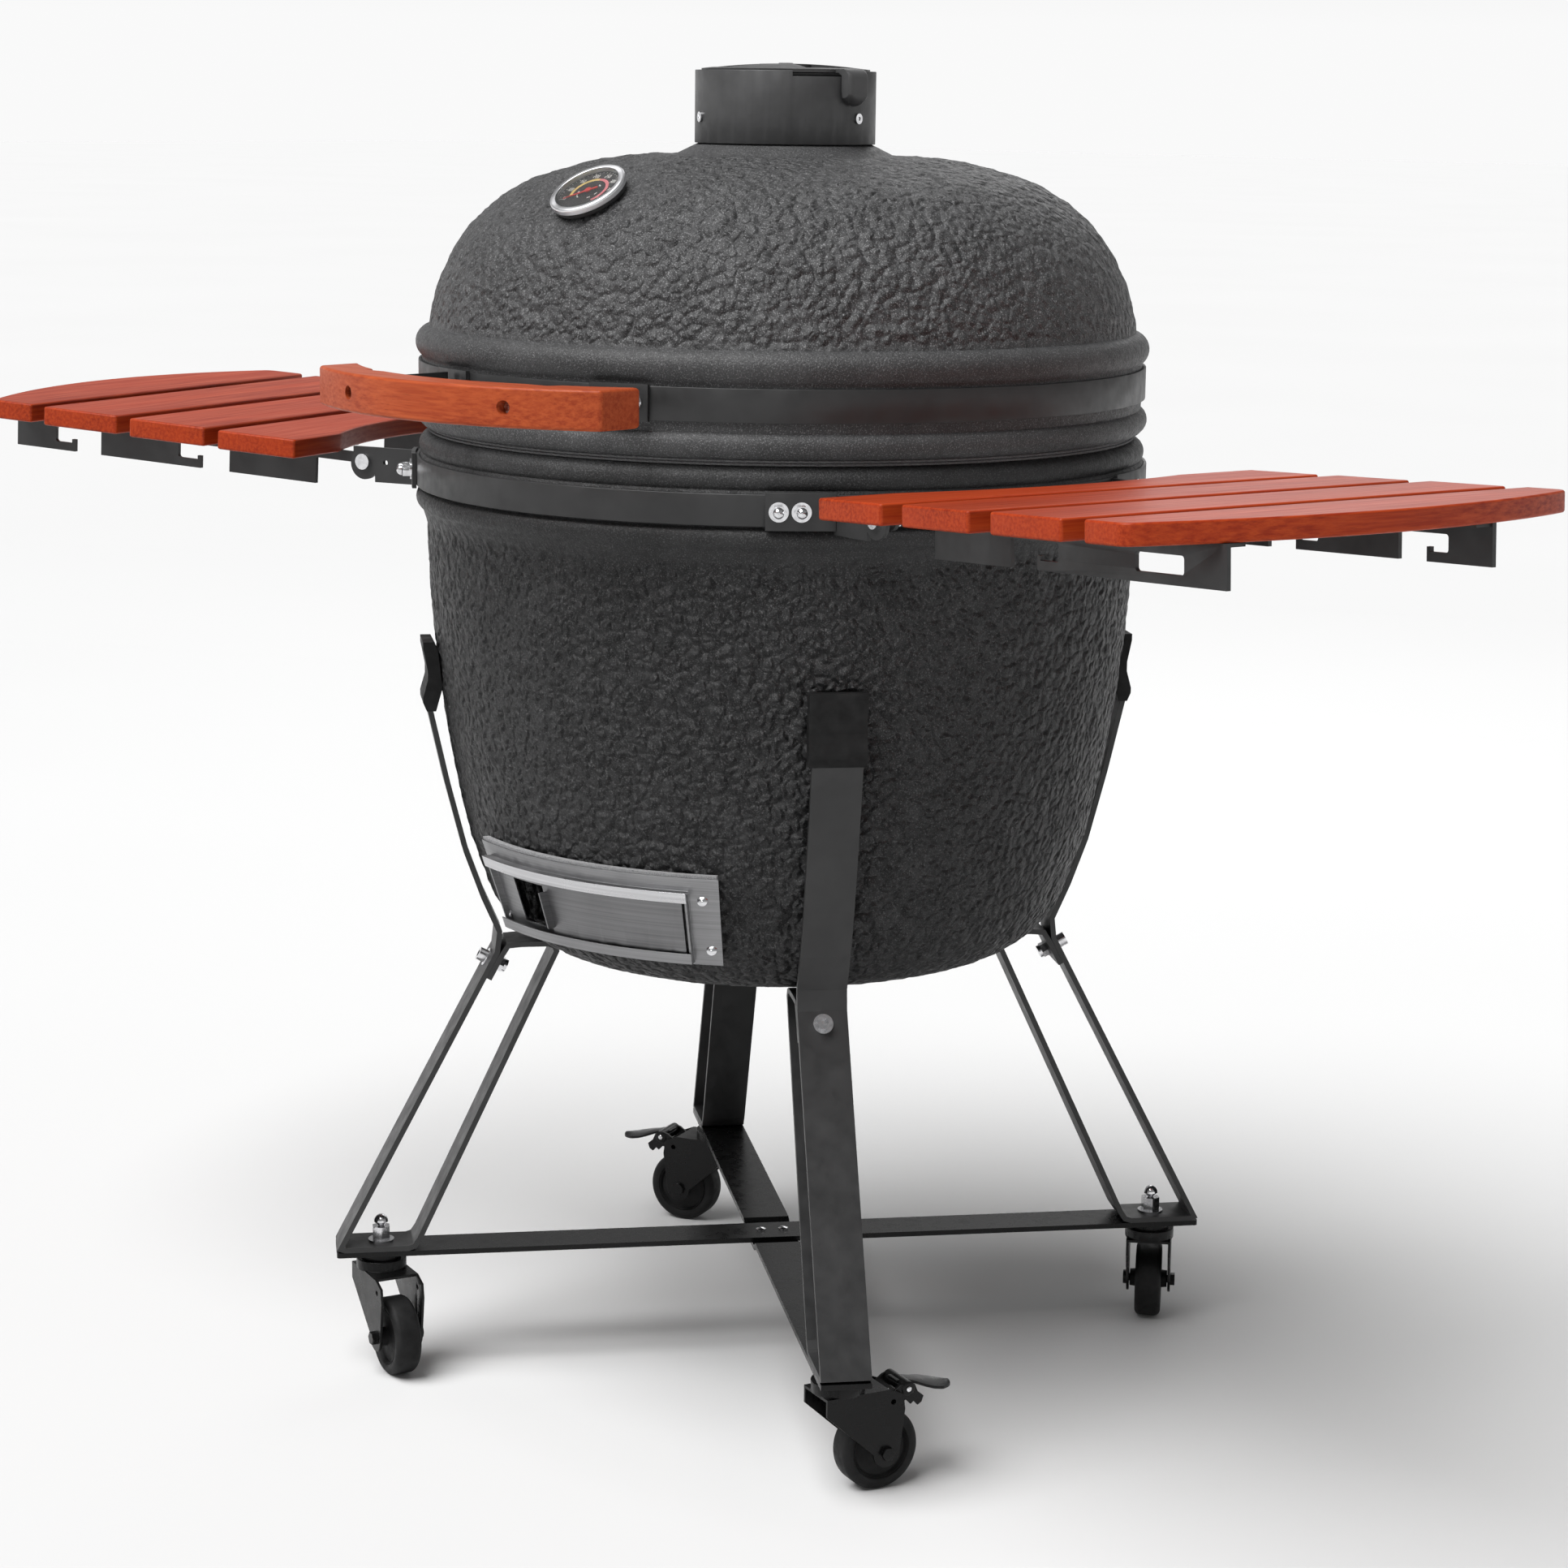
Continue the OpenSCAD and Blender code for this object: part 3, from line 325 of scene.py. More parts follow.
def add_piece(name, mesh_source, material, place=None):
    """A mesh object from a bmesh in metres, or from points and faces in millimetres.

    It is placed from the body axis."""
    mesh = bpy.data.meshes.new(name)
    if isinstance(mesh_source, bmesh.types.BMesh):
        mesh_source.to_mesh(mesh)
        mesh_source.free()
    else:
        points, faces = mesh_source
        mesh.from_pydata([Vector(p) * MM for p in points], [], faces)
    mesh.materials.append(material)
    piece = bpy.data.objects.new(name, mesh)
    bpy.context.scene.collection.objects.link(piece)
    piece.matrix_world = Matrix.Translation(AXIS) @ (place or Matrix.Identity(4))
    return piece


def smooth(piece, angle=35):
    """Smooth shading that keeps edges sharper than the angle."""
    for face in piece.data.polygons:
        face.use_smooth = True
    limit = math.radians(angle)
    bm = bmesh.new()
    bm.from_mesh(piece.data)
    for edge in bm.edges:
        edge.smooth = len(edge.link_faces) == 2 and edge.calc_face_angle(0) < limit
    bm.to_mesh(piece.data)
    bm.free()
    return piece


def bevel(piece, width, segments=3, angle=30):
    """Rounds the edges with a bevel of that width in millimetres."""
    modifier = piece.modifiers.new("rounded_edges", "BEVEL")
    modifier.width = width * MM
    modifier.segments = segments
    modifier.limit_method = "ANGLE"
    modifier.angle_limit = math.radians(angle)
    modifier.harden_normals = True
    for face in piece.data.polygons:
        face.use_smooth = True
    return piece


def arc(centre, radius, start, end, steps):
    """Points on an arc, angles in degrees."""
    angles = [math.radians(start + (end - start) * i / steps) for i in range(steps + 1)]
    return [(centre[0] + radius * math.cos(a), centre[1] + radius * math.sin(a)) for a in angles]


def finer(outline, step):
    """The same outline with points no further apart than step."""
    result = [outline[0]]
    for (u0, v0), (u1, v1) in zip(outline, outline[1:]):
        parts = max(1, math.ceil(math.hypot(u1 - u0, v1 - v0) / step))
        for i in range(1, parts + 1):
            result.append((u0 + (u1 - u0) * i / parts, v0 + (v1 - v0) * i / parts))
    return result


def revolve(outline, segments, skip=None):
    """Vertices and faces of a closed outline (radius, height) turned about Z.

    skip(ring, segment) leaves a face out. The first column is at azimuth 0, which faces -Y."""
    points = []
    for radius, height in outline:
        for i in range(segments):
            a = 2 * math.pi * i / segments
            points.append((radius * math.sin(a), -radius * math.cos(a), height))
    faces = []
    rings = len(outline)
    for ring in range(rings):
        low = ring * segments
        high = (ring + 1) % rings * segments
        for i in range(segments):
            if skip and skip(ring, i):
                continue
            j = (i + 1) % segments
            faces.append((low + i, low + j, high + j, high + i))
    return points, faces


def slab(outline, bottom, top):
    """A flat outline as a solid between two heights."""
    n = len(outline)
    points = [(x, y, bottom) for x, y in outline] + [(x, y, top) for x, y in outline]
    faces = [tuple(range(n - 1, -1, -1)), tuple(range(n, 2 * n))]
    faces += [(i, (i + 1) % n, n + (i + 1) % n, n + i) for i in range(n)]
    return points, faces


def fillet(outline, radii):
    """Rounds corner i of a closed outline with radii[i]."""
    steps = 6
    result = []
    n = len(outline)
    for i, radius in enumerate(radii):
        here = Vector(outline[i])
        if not radius:
            result.append(tuple(here))
            continue
        before = (Vector(outline[i - 1]) - here).normalized()
        after = (Vector(outline[(i + 1) % n]) - here).normalized()
        half = before.angle(after) / 2
        centre = here + (before + after).normalized() * radius / math.sin(half)
        start = here + before * radius / math.tan(half) - centre
        end = here + after * radius / math.tan(half) - centre
        sweep = start.angle_signed(end)
        for k in range(steps + 1):
            spin = Matrix.Rotation(-sweep * k / steps, 2)
            result.append(tuple(centre + spin @ start))
    return result


def azimuth(angle):
    """Turns a piece made toward the front to that azimuth."""
    return Matrix.Rotation(math.radians(angle), 4, "Z")


def upright_place(angle):
    """Local x outward, y up and z across, in the plane of an azimuth."""
    across = Matrix(((0, 0, 1, 0), (-1, 0, 0, 0), (0, 1, 0, 0), (0, 0, 0, 1)))
    return azimuth(angle) @ across


# ---------- ceramic shells ----------

WALL = 26
SEAM = 902
GASKET = 2.6
CART_TURN = 5.4
SHELL_SEGMENTS = 600
PORT_ANGLES = (-18 + CART_TURN, 1 + CART_TURN)
PORT_HEIGHTS = (464, 506)
# Centre (radius, height) and radius of each arc of the profiles
BOWL_FOOT = ((182.8, 512.4), 101)
BOWL_SIDE = ((-1030.8, 840.3), 1361.5)
BOWL_RIM_R = 341
BOWL_FLOOR = 400
DOME_FOOT = ((132.9, 968.8), 197)
DOME_SHOULDER = ((169.3, 984.2), 157.8)
DOME_CROWN = ((110.5, 841.3), 311.4)
DOME_RIM_R = 338
NECK_R = 66
NECK_TOP = 1163.4
RELIEF_DEPTH = 1.7
RELIEF_CELL = 9
RELIEF_CENTRE = 800


def fade(value, low, high):
    """0 below low, 1 above high, smooth between."""
    t = min(1.0, max(0.0, (value - low) / (high - low)))
    return t * t * (3 - 2 * t)


def relief(points, outer, textured):
    """Moves the points of the outer rings in and out as the cast glaze does."""
    result = []
    for index, (x, y, z) in enumerate(points):
        if index >= outer * SHELL_SEGMENTS:
            result.append((x, y, z))
            continue
        here = Vector((x, y, z))
        blob = noise.noise(here / RELIEF_CELL) + 0.35 * noise.noise(here / 23)
        move = textured(x, y, z) * RELIEF_DEPTH * blob + 0.12 * noise.noise(here / 6)
        grow = 1 + move / max(60.0, math.hypot(x, y, z - RELIEF_CENTRE))
        result.append((x * grow, y * grow, RELIEF_CENTRE + (z - RELIEF_CENTRE) * grow))
    return result


def mark_rough_cast(piece, textured):
    """Stores on each point how rough the cast is there, for the glaze's bump."""
    layer = piece.data.attributes.new("rough_cast", "FLOAT", "POINT")
    for vertex, value in zip(piece.data.vertices, layer.data):
        x, y, z = vertex.co / MM
        value.value = textured(x, y, z)


def bowl_outline():
    """Outer and inner outline of the base: foot, side, bead, band groove and rim bead."""
    (foot, foot_r), (side, side_r) = BOWL_FOOT, BOWL_SIDE
    groove = BOWL_RIM_R - 3.4
    lip = BOWL_RIM_R - 13
    outer = [(60, BOWL_FLOOR), (140, BOWL_FLOOR)]
    outer += arc(foot, foot_r, -80, -22, 14)
    outer += arc(side, side_r, -13.4, -1.1, 70)
    outer += arc((BOWL_RIM_R - 11, 838), 11, -60, 60, 8)
    outer += [(groove, 849), (groove, 877)]
    outer += arc((BOWL_RIM_R - 14.5, 887), 11.5, -40, 66, 8)
    outer += [(lip, SEAM - GASKET)]
    outer = finer(outer, 5.2)
    inner = [(lip - WALL, SEAM - GASKET), (lip - WALL, 860)]
    inner += arc(side, side_r - WALL, -1.5, -13.4, 12)
    inner += arc(foot, foot_r - WALL, -24, -78, 6)
    inner += [(60, BOWL_FLOOR + 34)]
    return outer, inner


def bowl_texture(x, y, z):
    return fade(z, 402, 430) * (1 - fade(z, 800, 826))


def port_columns():
    """First and last column of shell faces that the draft port takes out."""
    step = 360 / SHELL_SEGMENTS
    return math.floor(PORT_ANGLES[0] / step), math.ceil(PORT_ANGLES[1] / step) - 1


def snap(outline, heights, count):
    """Moves the nearest point of each height onto it, among the side's points."""
    outline = list(outline)
    for height in heights:
        nearest = min(range(count), key=lambda i: abs(outline[i][1] - height))
        outline[nearest] = (outline[nearest][0], height)
    return outline


def make_bowl(material):
    outer, inner = bowl_outline()
    outer = snap(outer, PORT_HEIGHTS, len(outer))
    inner = snap(inner, PORT_HEIGHTS, len(inner))
    outline = outer + inner
    first, last = port_columns()
    low, high = PORT_HEIGHTS

    def in_port(ring, column):
        if column > SHELL_SEGMENTS / 2:
            column -= SHELL_SEGMENTS
        heights = (outline[ring][1], outline[(ring + 1) % len(outline)][1])
        return first <= column <= last and min(heights) >= low and max(heights) <= high

    points, faces = revolve(outline, SHELL_SEGMENTS, skip=in_port)
    points = relief(points, len(outer), bowl_texture)
    bm = bmesh.new()
    vertices = [bm.verts.new(Vector(p) * MM) for p in points]
    for face in faces:
        bm.faces.new([vertices[i] for i in face])
    port_edges = [e for e in bm.edges if len(e.link_faces) == 1]
    bmesh.ops.bridge_loops(bm, edges=port_edges)
    bmesh.ops.recalc_face_normals(bm, faces=bm.faces)
    piece = smooth(add_piece("bowl_shell", bm, material), 50)
    mark_rough_cast(piece, bowl_texture)
    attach(piece, "base")
    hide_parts("base_bowl")


def dome_outline():
    """Outer and inner outline of the lid: rim bead, band groove, bead, shoulder, crown and neck."""
    (foot, foot_r), (shoulder, shoulder_r) = DOME_FOOT, DOME_SHOULDER
    crown, crown_r = DOME_CROWN
    groove = DOME_RIM_R - 3.4
    lip = DOME_RIM_R - 10
    outer = [(lip, SEAM + GASKET), (DOME_RIM_R - 4, SEAM + GASKET + 1)]
    outer += arc((lip, 916.5), 12, -50, 60, 8)
    outer += [(groove, 935.6), (groove, 965.8)]
    outer += arc((DOME_RIM_R - 13, 981), 15.5, -52, 62, 10)
    outer += arc(foot, foot_r, 8, 26, 16)
    outer += arc(shoulder, shoulder_r, 30, 76, 32)
    outer += arc(crown, crown_r, 72.5, 91.5, 26)
    outer += [(80, NECK_TOP), (NECK_R, NECK_TOP)]
    outer = finer(outer, 4.4)
    inner = [(NECK_R, NECK_TOP - WALL)]
    inner += arc(crown, crown_r - WALL, 91.5, 74, 6)
    inner += arc(shoulder, shoulder_r - WALL, 70, 30, 10)
    inner += arc(foot, foot_r - WALL, 26, 8, 4)
    inner += [(lip - WALL, 985), (lip - WALL, SEAM + GASKET)]
    return outer, inner


def dome_texture(x, y, z):
    return fade(z, 992, 1006) * fade(math.hypot(x, y), 112, 132)


def make_dome(material):
    outer, inner = dome_outline()
    points, faces = revolve(outer + inner, SHELL_SEGMENTS)
    points = relief(points, len(outer), dome_texture)
    piece = smooth(add_piece("dome_shell", (points, faces), material), 50)
    bore = add_piece("thermometer_bore", slab(arc((0, 0), 5.5, 0, 345, 23), -60, 40), material,
                     thermometer_place())
    cut = piece.modifiers.new("thermometer_hole", "BOOLEAN")
    cut.operation = "DIFFERENCE"
    cut.object = bore
    apply_modifiers(piece)
    bpy.data.objects.remove(bore)
    mark_rough_cast(piece, dome_texture)
    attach(piece, "lid")
    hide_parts("lid_dome")


def apply_modifiers(piece):
    """Replaces the mesh by what its modifiers make of it."""
    view = bpy.context.evaluated_depsgraph_get()
    mesh = bpy.data.meshes.new_from_object(piece.evaluated_get(view))
    piece.modifiers.clear()
    piece.data = mesh


# ---------- gaskets ----------

GASKET_R = (308, 329)
BRAID_STEPS = 2160
BRAID_PITCH = 8


def make_gasket(name, low, body, node, material):
    """Flat braided rope of felt: crossing strands show on its outer edge."""
    height = GASKET - 0.1
    side = [(GASKET_R[1] - 1.2 + bulge, low + height * t) for bulge, t in
            ((0.0, 0.0), (0.9, 0.12), (1.2, 0.35), (1.25, 0.65), (0.9, 0.88), (0.0, 1.0))]
    outline = side + [(GASKET_R[0], low + height), (GASKET_R[0], low)]
    points, faces = revolve(outline, BRAID_STEPS)
    braided = []
    for index, (x, y, z) in enumerate(points):
        ring, column = divmod(index, BRAID_STEPS)
        if 0 < ring < 5:
            phase = 2 * math.pi * column / BRAID_PITCH
            lift = 0.28 * math.sin(phase + ring * 1.4) + 0.15 * noise.noise(Vector((x, y, z)) / 3)
            grow = 1 + lift / GASKET_R[1]
            x, y = x * grow, y * grow
        braided.append((x, y, z))
    piece = smooth(add_piece(name, (braided, faces), material), 60)
    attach(piece, body)
    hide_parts(node)


# ---------- shelves ----------

PIVOT_U = 366
PIVOT_Z = 862
SHELF_AZ = 75.5
SHELF_TILT = 2.8
SLAT_W = 88
SLAT_PITCH = 107
SLAT_BOTTOM = 6
SLAT_TOP = 24
EDGE_R = 600
EDGE_CENTRE = (806 - PIVOT_U - EDGE_R, 15)


def shelf_place(side):
    """Frame of a shelf: x outward, y to the rear on the right, tilted up about the pivots."""
    turn = Matrix.Rotation(math.radians(SHELF_AZ - 90), 4, "Z")
    pivot = Matrix.Translation(Vector((PIVOT_U, 0, PIVOT_Z)) * MM)
    tilt = Matrix.Rotation(math.radians(-SHELF_TILT), 4, "Y")
    mirror = Matrix.Scale(-1, 4, Vector((1, 0, 0))) if side < 0 else Matrix.Identity(4)
    return mirror @ turn @ pivot @ tilt


def slat_outline(i):
    """Outline of slat i in shelf coordinates, its corners rounded."""
    u0 = 393 - PIVOT_U + i * SLAT_PITCH
    u1 = u0 + SLAT_W
    middle = 4 + i * 5
    half = 233 - i * 0.7
    low, high = middle - half, middle + half
    if i == 0:
        reach = 422
        bite = [math.sqrt(reach ** 2 - (u0 + PIVOT_U) ** 2)]
        cut = math.degrees(math.asin(bite[0] / reach))
        inner = arc((-PIVOT_U, 0), reach, cut, -cut, 24)
        return fillet([(u0, low), (u1, low), (u1, high), (u0, high)], [3, 3, 3, 3]) + inner
    if i < 3:
        return fillet([(u0, low), (u1, low), (u1, high), (u0, high)], [3, 3, 3, 3])

    def edge_angle(v):
        return math.degrees(math.asin((v - EDGE_CENTRE[1]) / EDGE_R))

    edge = arc(EDGE_CENTRE, EDGE_R, edge_angle(low), edge_angle(high), 40)
    trimmed = [p for p in edge[1:-1] if low + 16 < p[1] < high - 16]
    corners = [(u0, low), edge[0]] + trimmed + [edge[-1], (u0, high)]
    radii = [3, 14] + [0] * len(trimmed) + [14, 3]
    return fillet(corners, radii)


def make_slats(side, name, material):
    """Four boards, each its own piece with its own stretch of grain."""
    for i in range(4):
        outline = slat_outline(i)
        shift = Vector((0, 0, 0.37 * i + (0.19 if side > 0 else 0)))
        turn = Matrix.Rotation(math.radians(90), 4, "Z")
        local = turn @ Matrix.Translation(shift)
        back = local.inverted()
        points, faces = slab(outline, SLAT_BOTTOM, SLAT_TOP)
        points = [tuple((back @ (Vector(p) * MM)) / MM) for p in points]
        place = shelf_place(side) @ local
        if side < 0:
            flip = Matrix.Scale(-1, 4, Vector((1, 0, 0)))
            points = [tuple(flip @ Vector(p)) for p in points]
            place = place @ flip
        board = add_piece(f"{name}_board_{i + 1}", (points, faces), material, place)
        tidy_normals(board)
        bevel(board, 2.2, 3)
        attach(board, name)
        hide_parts("shelf_slats_" + name.split("_")[0])


def tidy_normals(piece):
    bm = bmesh.new()
    bm.from_mesh(piece.data)
    bmesh.ops.recalc_face_normals(bm, faces=bm.faces)
    bm.to_mesh(piece.data)
    bm.free()


# ---------- handle ----------

GRIP_R = 324
GRIP_FRONT = 468
GRIP_T = 38
GRIP_H = 34
GRIP_HALF = 173
GRIP_Z = 953
GRIP_SEAT = -416.6
GRIP_BOLT = 95


def make_grip(material):
    """Bowed bar with softly rounded edges, flat seats behind, and a counterbore at each bolt."""
    centre = (0, GRIP_R - GRIP_FRONT)
    outer_end = math.degrees(math.asin(GRIP_HALF / GRIP_R))
    inner = GRIP_R - GRIP_T
    outline = arc(centre, GRIP_R, -90 - outer_end, -90 + outer_end, 64)

    def back(x):
        return centre[1] - math.sqrt(inner ** 2 - x ** 2)

    steps = 72
    for k in range(steps + 1):
        x = GRIP_HALF * (1 - 2 * k / steps)
        seated = 81 <= abs(x) <= 111
        outline.append((x, min(back(x), GRIP_SEAT) if seated else back(x)))
    points, faces = slab(outline, GRIP_Z - GRIP_H / 2, GRIP_Z + GRIP_H / 2)
    piece = add_piece("handle_bar", (points, faces), material)
    tidy_normals(piece)
    bevel(piece, 3.2, 4, 40)
    for side in (-1, 1):
        bore = add_piece("bolt_bore", slab(arc((0, 0), 6, 0, 350, 35), 0, 40), material,
                         Matrix.Translation(Vector((side * GRIP_BOLT, -442, GRIP_Z)) * MM)
                         @ Matrix.Rotation(math.radians(90), 4, "X"))
        cut = piece.modifiers.new("counterbore", "BOOLEAN")
        cut.operation = "DIFFERENCE"
        cut.object = bore
    apply_modifiers(piece)
    for bore in [o for o in bpy.data.objects if o.name.startswith("bolt_bore")]:
        bpy.data.objects.remove(bore)
    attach(piece, "lid")
    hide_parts("handle_grip")


# ---------- thermometer ----------

THERMO_R = 253.5
THERMO_Z = 1117.5
THERMO_TILT = 34


def thermometer_place():
    foot = Matrix.Translation(Vector((0, -THERMO_R, THERMO_Z)) * MM)
    return foot @ Matrix.Rotation(math.radians(THERMO_TILT), 4, "X")


BEZEL_R = (29.4, 35.4)
CASE_TOP = 12
DIAL_TOP = 6.0
PAINT = 0.08


def dial_arc(start, end):
    """A painted band on the dial between two angles."""
    outer = arc((0, 0), BAND_R + BAND_W / 2, start, end, 60)
    inner = arc((0, 0), BAND_R - BAND_W / 2, end, start, 60)
    return slab(outer + inner, DIAL_TOP, DIAL_TOP + PAINT)


BAND_R = 17.5
BAND_W = 3
MARK_R = 28.6
NUMBER_R = 23.2
FIRST_MARK = -150
# The seven bars of a digit: which of them each digit has, and their x, y, length and turn
DIGIT_BARS = {"0": "abcdef", "1": "bc", "2": "abged", "3": "abgcd", "4": "fgbc", "5": "afgcd"}
BAR_PLACES = {
    "a": (0, 2, 1.3, 0), "b": (0.65, 1, 1.9, 90), "c": (0.65, -1, 1.9, 90), "d": (0, -2, 1.3, 0),
    "e": (-0.65, -1, 1.9, 90), "f": (-0.65, 1, 1.9, 90), "g": (0, 0, 1.3, 0),
}


def dial_bar(x, y, length, width, turn):
    """A thin painted bar centred on a point of the dial."""
    spin = Matrix.Rotation(math.radians(turn), 2)
    corners = [(-length / 2, -width / 2), (length / 2, -width / 2), (length / 2, width / 2),
               (-length / 2, width / 2)]
    outline = [tuple(Vector((x, y)) + spin @ Vector(c)) for c in corners]
    return slab(outline, DIAL_TOP, DIAL_TOP + PAINT)


def joined(parts):
    """Several solids as one list of points and faces."""
    points, faces = [], []
    for part_points, part_faces in parts:
        start = len(points)
        points += part_points
        faces += [tuple(start + i for i in face) for face in part_faces]
    return points, faces


def dial_marks():
    """Plain graduations, the numbers 50 to 400, and six short marks inside the bands."""
    parts = []
    for k in range(31):
        angle = FIRST_MARK - k * 8
        a = math.radians(angle)
        length = 2.6 if k % 4 == 0 else 1.3
        reach = MARK_R - length / 2
        parts.append(dial_bar(reach * math.cos(a), reach * math.sin(a), length, 0.45, angle))
    for k in range(8):
        a = math.radians(FIRST_MARK - k * 33.5)
        text = str(50 * (k + 1))
        for place, digit in enumerate(text):
            x = NUMBER_R * math.cos(a) + (place - (len(text) - 1) / 2) * 2.3
            y = NUMBER_R * math.sin(a)
            for bar in DIGIT_BARS[digit]:
                dx, dy, length, turn = BAR_PLACES[bar]
                parts.append(dial_bar(x + dx, y + dy, length, 0.5, turn))
    for angle in (-169, -144, -128, -15, -53, 54):
        a = math.radians(angle)
        parts.append(dial_bar(11 * math.cos(a), 11 * math.sin(a), 3.2, 1.3, angle + 90))
    return joined(parts)


def make_thermometer(finishes):
    """Domed chrome bezel over a dark case, and the painted dial."""
    place = thermometer_place()
    inner, outer = BEZEL_R
    bezel = arc((outer - 2.2, CASE_TOP - 2.6), 2.2, -10, 80, 6)
    bezel += arc((inner + 1.2, CASE_TOP - 1.6), 1.2, 100, 175, 4)
    bezel += [(inner, 6.2), (outer - 2.6, 4.4), (outer - 0.1, 6.0)]
    ring = smooth(add_piece("thermometer_bezel", revolve(bezel, 120), finishes["bezel"], place))
    tidy_normals(ring)
    case = [(3.2, -7.5), (5.2, -7.5), (5.2, 0.5), (32.0, 0.5)]
    case += arc((32.0, 2.0), 1.5, -80, 0, 4) + [(33.5, 5.6), (30.9, 5.6), (30.9, 5.0), (3.2, 5.0)]
    cup = smooth(add_piece("thermometer_cup", revolve(case, 96), finishes["coat"], place))
    tidy_normals(cup)
    marks = {"dial_low_band": (dial_arc(-153, -268), "dial_yellow"),
             "dial_high_band": (dial_arc(92, -45), "dial_pink"),
             "dial_numbers": (dial_marks(), "dial_white")}
    pieces = [(ring, "chrome_parts"), (cup, "black_coat")]
    for name, (source, paint) in marks.items():
        mark = add_piece(name, source, finishes[paint], place)
        tidy_normals(mark)
        pieces.append((mark, "dial_face"))
    for piece, slot in pieces:
        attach(piece, "lid")
    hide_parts("thermometer_case")
    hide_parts("thermometer_case")


# ---------- vent ----------

VENT_R = 83.3
VENT_TOP = 1229.3
VENT_WALL = 4.5
LEVER_AZ = 86
LEVER_HALF = 12.4
DAMPER_CROWN = 1235.8
DAMPER_RISE = 5
DAMPER_THICK = 3
DAMPER_SEGMENTS = 240
WINDOW_R = (22, 68)
WINDOW_SPANS = ((57, 111), (177, 231), (297, 351))


def make_lever(material):
    """Thumb tab of the damper: a fat curl with a rounded end, hung over the wall's notch."""
    near = VENT_R + 1.1
    side = [(VENT_R - 14, VENT_TOP + 1.4), (VENT_R - 2, VENT_TOP + 1.6)]
    side += arc((VENT_R + 2.2, VENT_TOP - 8.6), 10.4, 82, 8, 8)
    side += arc((VENT_R + 1.0, VENT_TOP - 21), 11.6, 8, -58, 8)
    side += arc((VENT_R + 4.3, VENT_TOP - 29.2), 2.2, -70, -200, 5)
    side += [(near, VENT_TOP - 20), (near, VENT_TOP - 4.2),
             (VENT_R - 3, VENT_TOP - 1.6), (VENT_R - 14, VENT_TOP - 1.6)]
    points = []
    faces = []
    rows = []
    for step in range(13):
        t = -1 + step / 6
        narrow = math.sqrt(max(0.0, 1 - abs(t) ** 8)) * 0.2 + 0.8
        row = []
        for x, z in side:
            drop = max(0.0, (VENT_TOP - 18 - z) / 14)
            lift = (1 - math.sqrt(max(0.0, 1 - (0.92 * t) ** 2))) * 13 * min(1.0, drop)
            row.append(len(points))
            depth = near + (x - near) * narrow if x > near else x
            points.append((depth, z + lift, t * LEVER_HALF))
        rows.append(row)
    n = len(side)
    for row, following in zip(rows, rows[1:]):
        for i in range(n):
            j = (i + 1) % n
            faces.append((row[i], row[j], following[j], following[i]))
    faces.append(tuple(rows[0]))
    faces.append(tuple(reversed(rows[-1])))
    lever = smooth(add_piece("damper_lever", (points, faces), material, upright_place(LEVER_AZ)), 40)
    tidy_normals(lever)
    return lever


def make_damper(material):
    """Domed damper plate with three windows and its boss, then the thumb tab."""
    crown = DAMPER_CROWN
    reach = VENT_R - VENT_WALL - 1.2
    sphere = (reach ** 2 + DAMPER_RISE ** 2) / (2 * DAMPER_RISE)
    edge = math.degrees(math.asin(reach / sphere))
    top = arc((0, crown - sphere), sphere, 90, 90 - edge, 16)[1:]
    under = arc((0, crown - sphere), sphere - DAMPER_THICK, 90 - edge, 90, 16)[:-1]
    outline = [(4, top[0][1])] + top + under + [(4, under[-1][1])]

    def in_window(ring, column):
        radii = (outline[ring][0], outline[(ring + 1) % len(outline)][0])
        angle = (column + 0.5) * 360 / DAMPER_SEGMENTS
        inside = min(radii) > WINDOW_R[0] and max(radii) < WINDOW_R[1]
        return inside and any(low <= angle <= high for low, high in WINDOW_SPANS)

    points, faces = revolve(outline, DAMPER_SEGMENTS, skip=in_window)
    bm = bmesh.new()
    vertices = [bm.verts.new(Vector(p) * MM) for p in points]
    for face in faces:
        bm.faces.new([vertices[i] for i in face])
    rims = [e for e in bm.edges if len(e.link_faces) == 1]
    bmesh.ops.bridge_loops(bm, edges=rims)
    bmesh.ops.recalc_face_normals(bm, faces=bm.faces)
    plate = smooth(add_piece("damper_plate", bm, material), 40)
    boss = [(0.5, crown + 0.6), (6.2, crown + 0.6), (7.6, crown - 0.4), (7.6, crown - 8),
            (3, crown - 8), (3, VENT_TOP - 16), (0.5, VENT_TOP - 16)]
    hub = smooth(add_piece("damper_boss", revolve(boss, 48), material))
    tidy_normals(hub)
    for piece in (plate, hub, make_lever(material)):
        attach(piece, "vent_cap")
        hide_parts("vent_damper")


# ---------- casters ----------

STEM_R = 381
LEG_AZ = (-39.6, 50.4, 140.4, 230.4)
SWIVEL_REST = (-21, 69, 124, 198)
TRAIL = 38
AXLE_Z = 37.5
BRAKE_X = 44
BRAKE_Z = 84


def caster_place(i):
    """Frame of a caster: z up the stem, x along the trail."""
    a = math.radians(LEG_AZ[i])
    stem = Vector((math.sin(a), -math.cos(a), 0)) * STEM_R * MM
    return Matrix.Translation(stem) @ Matrix.Rotation(math.radians(SWIVEL_REST[i]), 4, "Z")


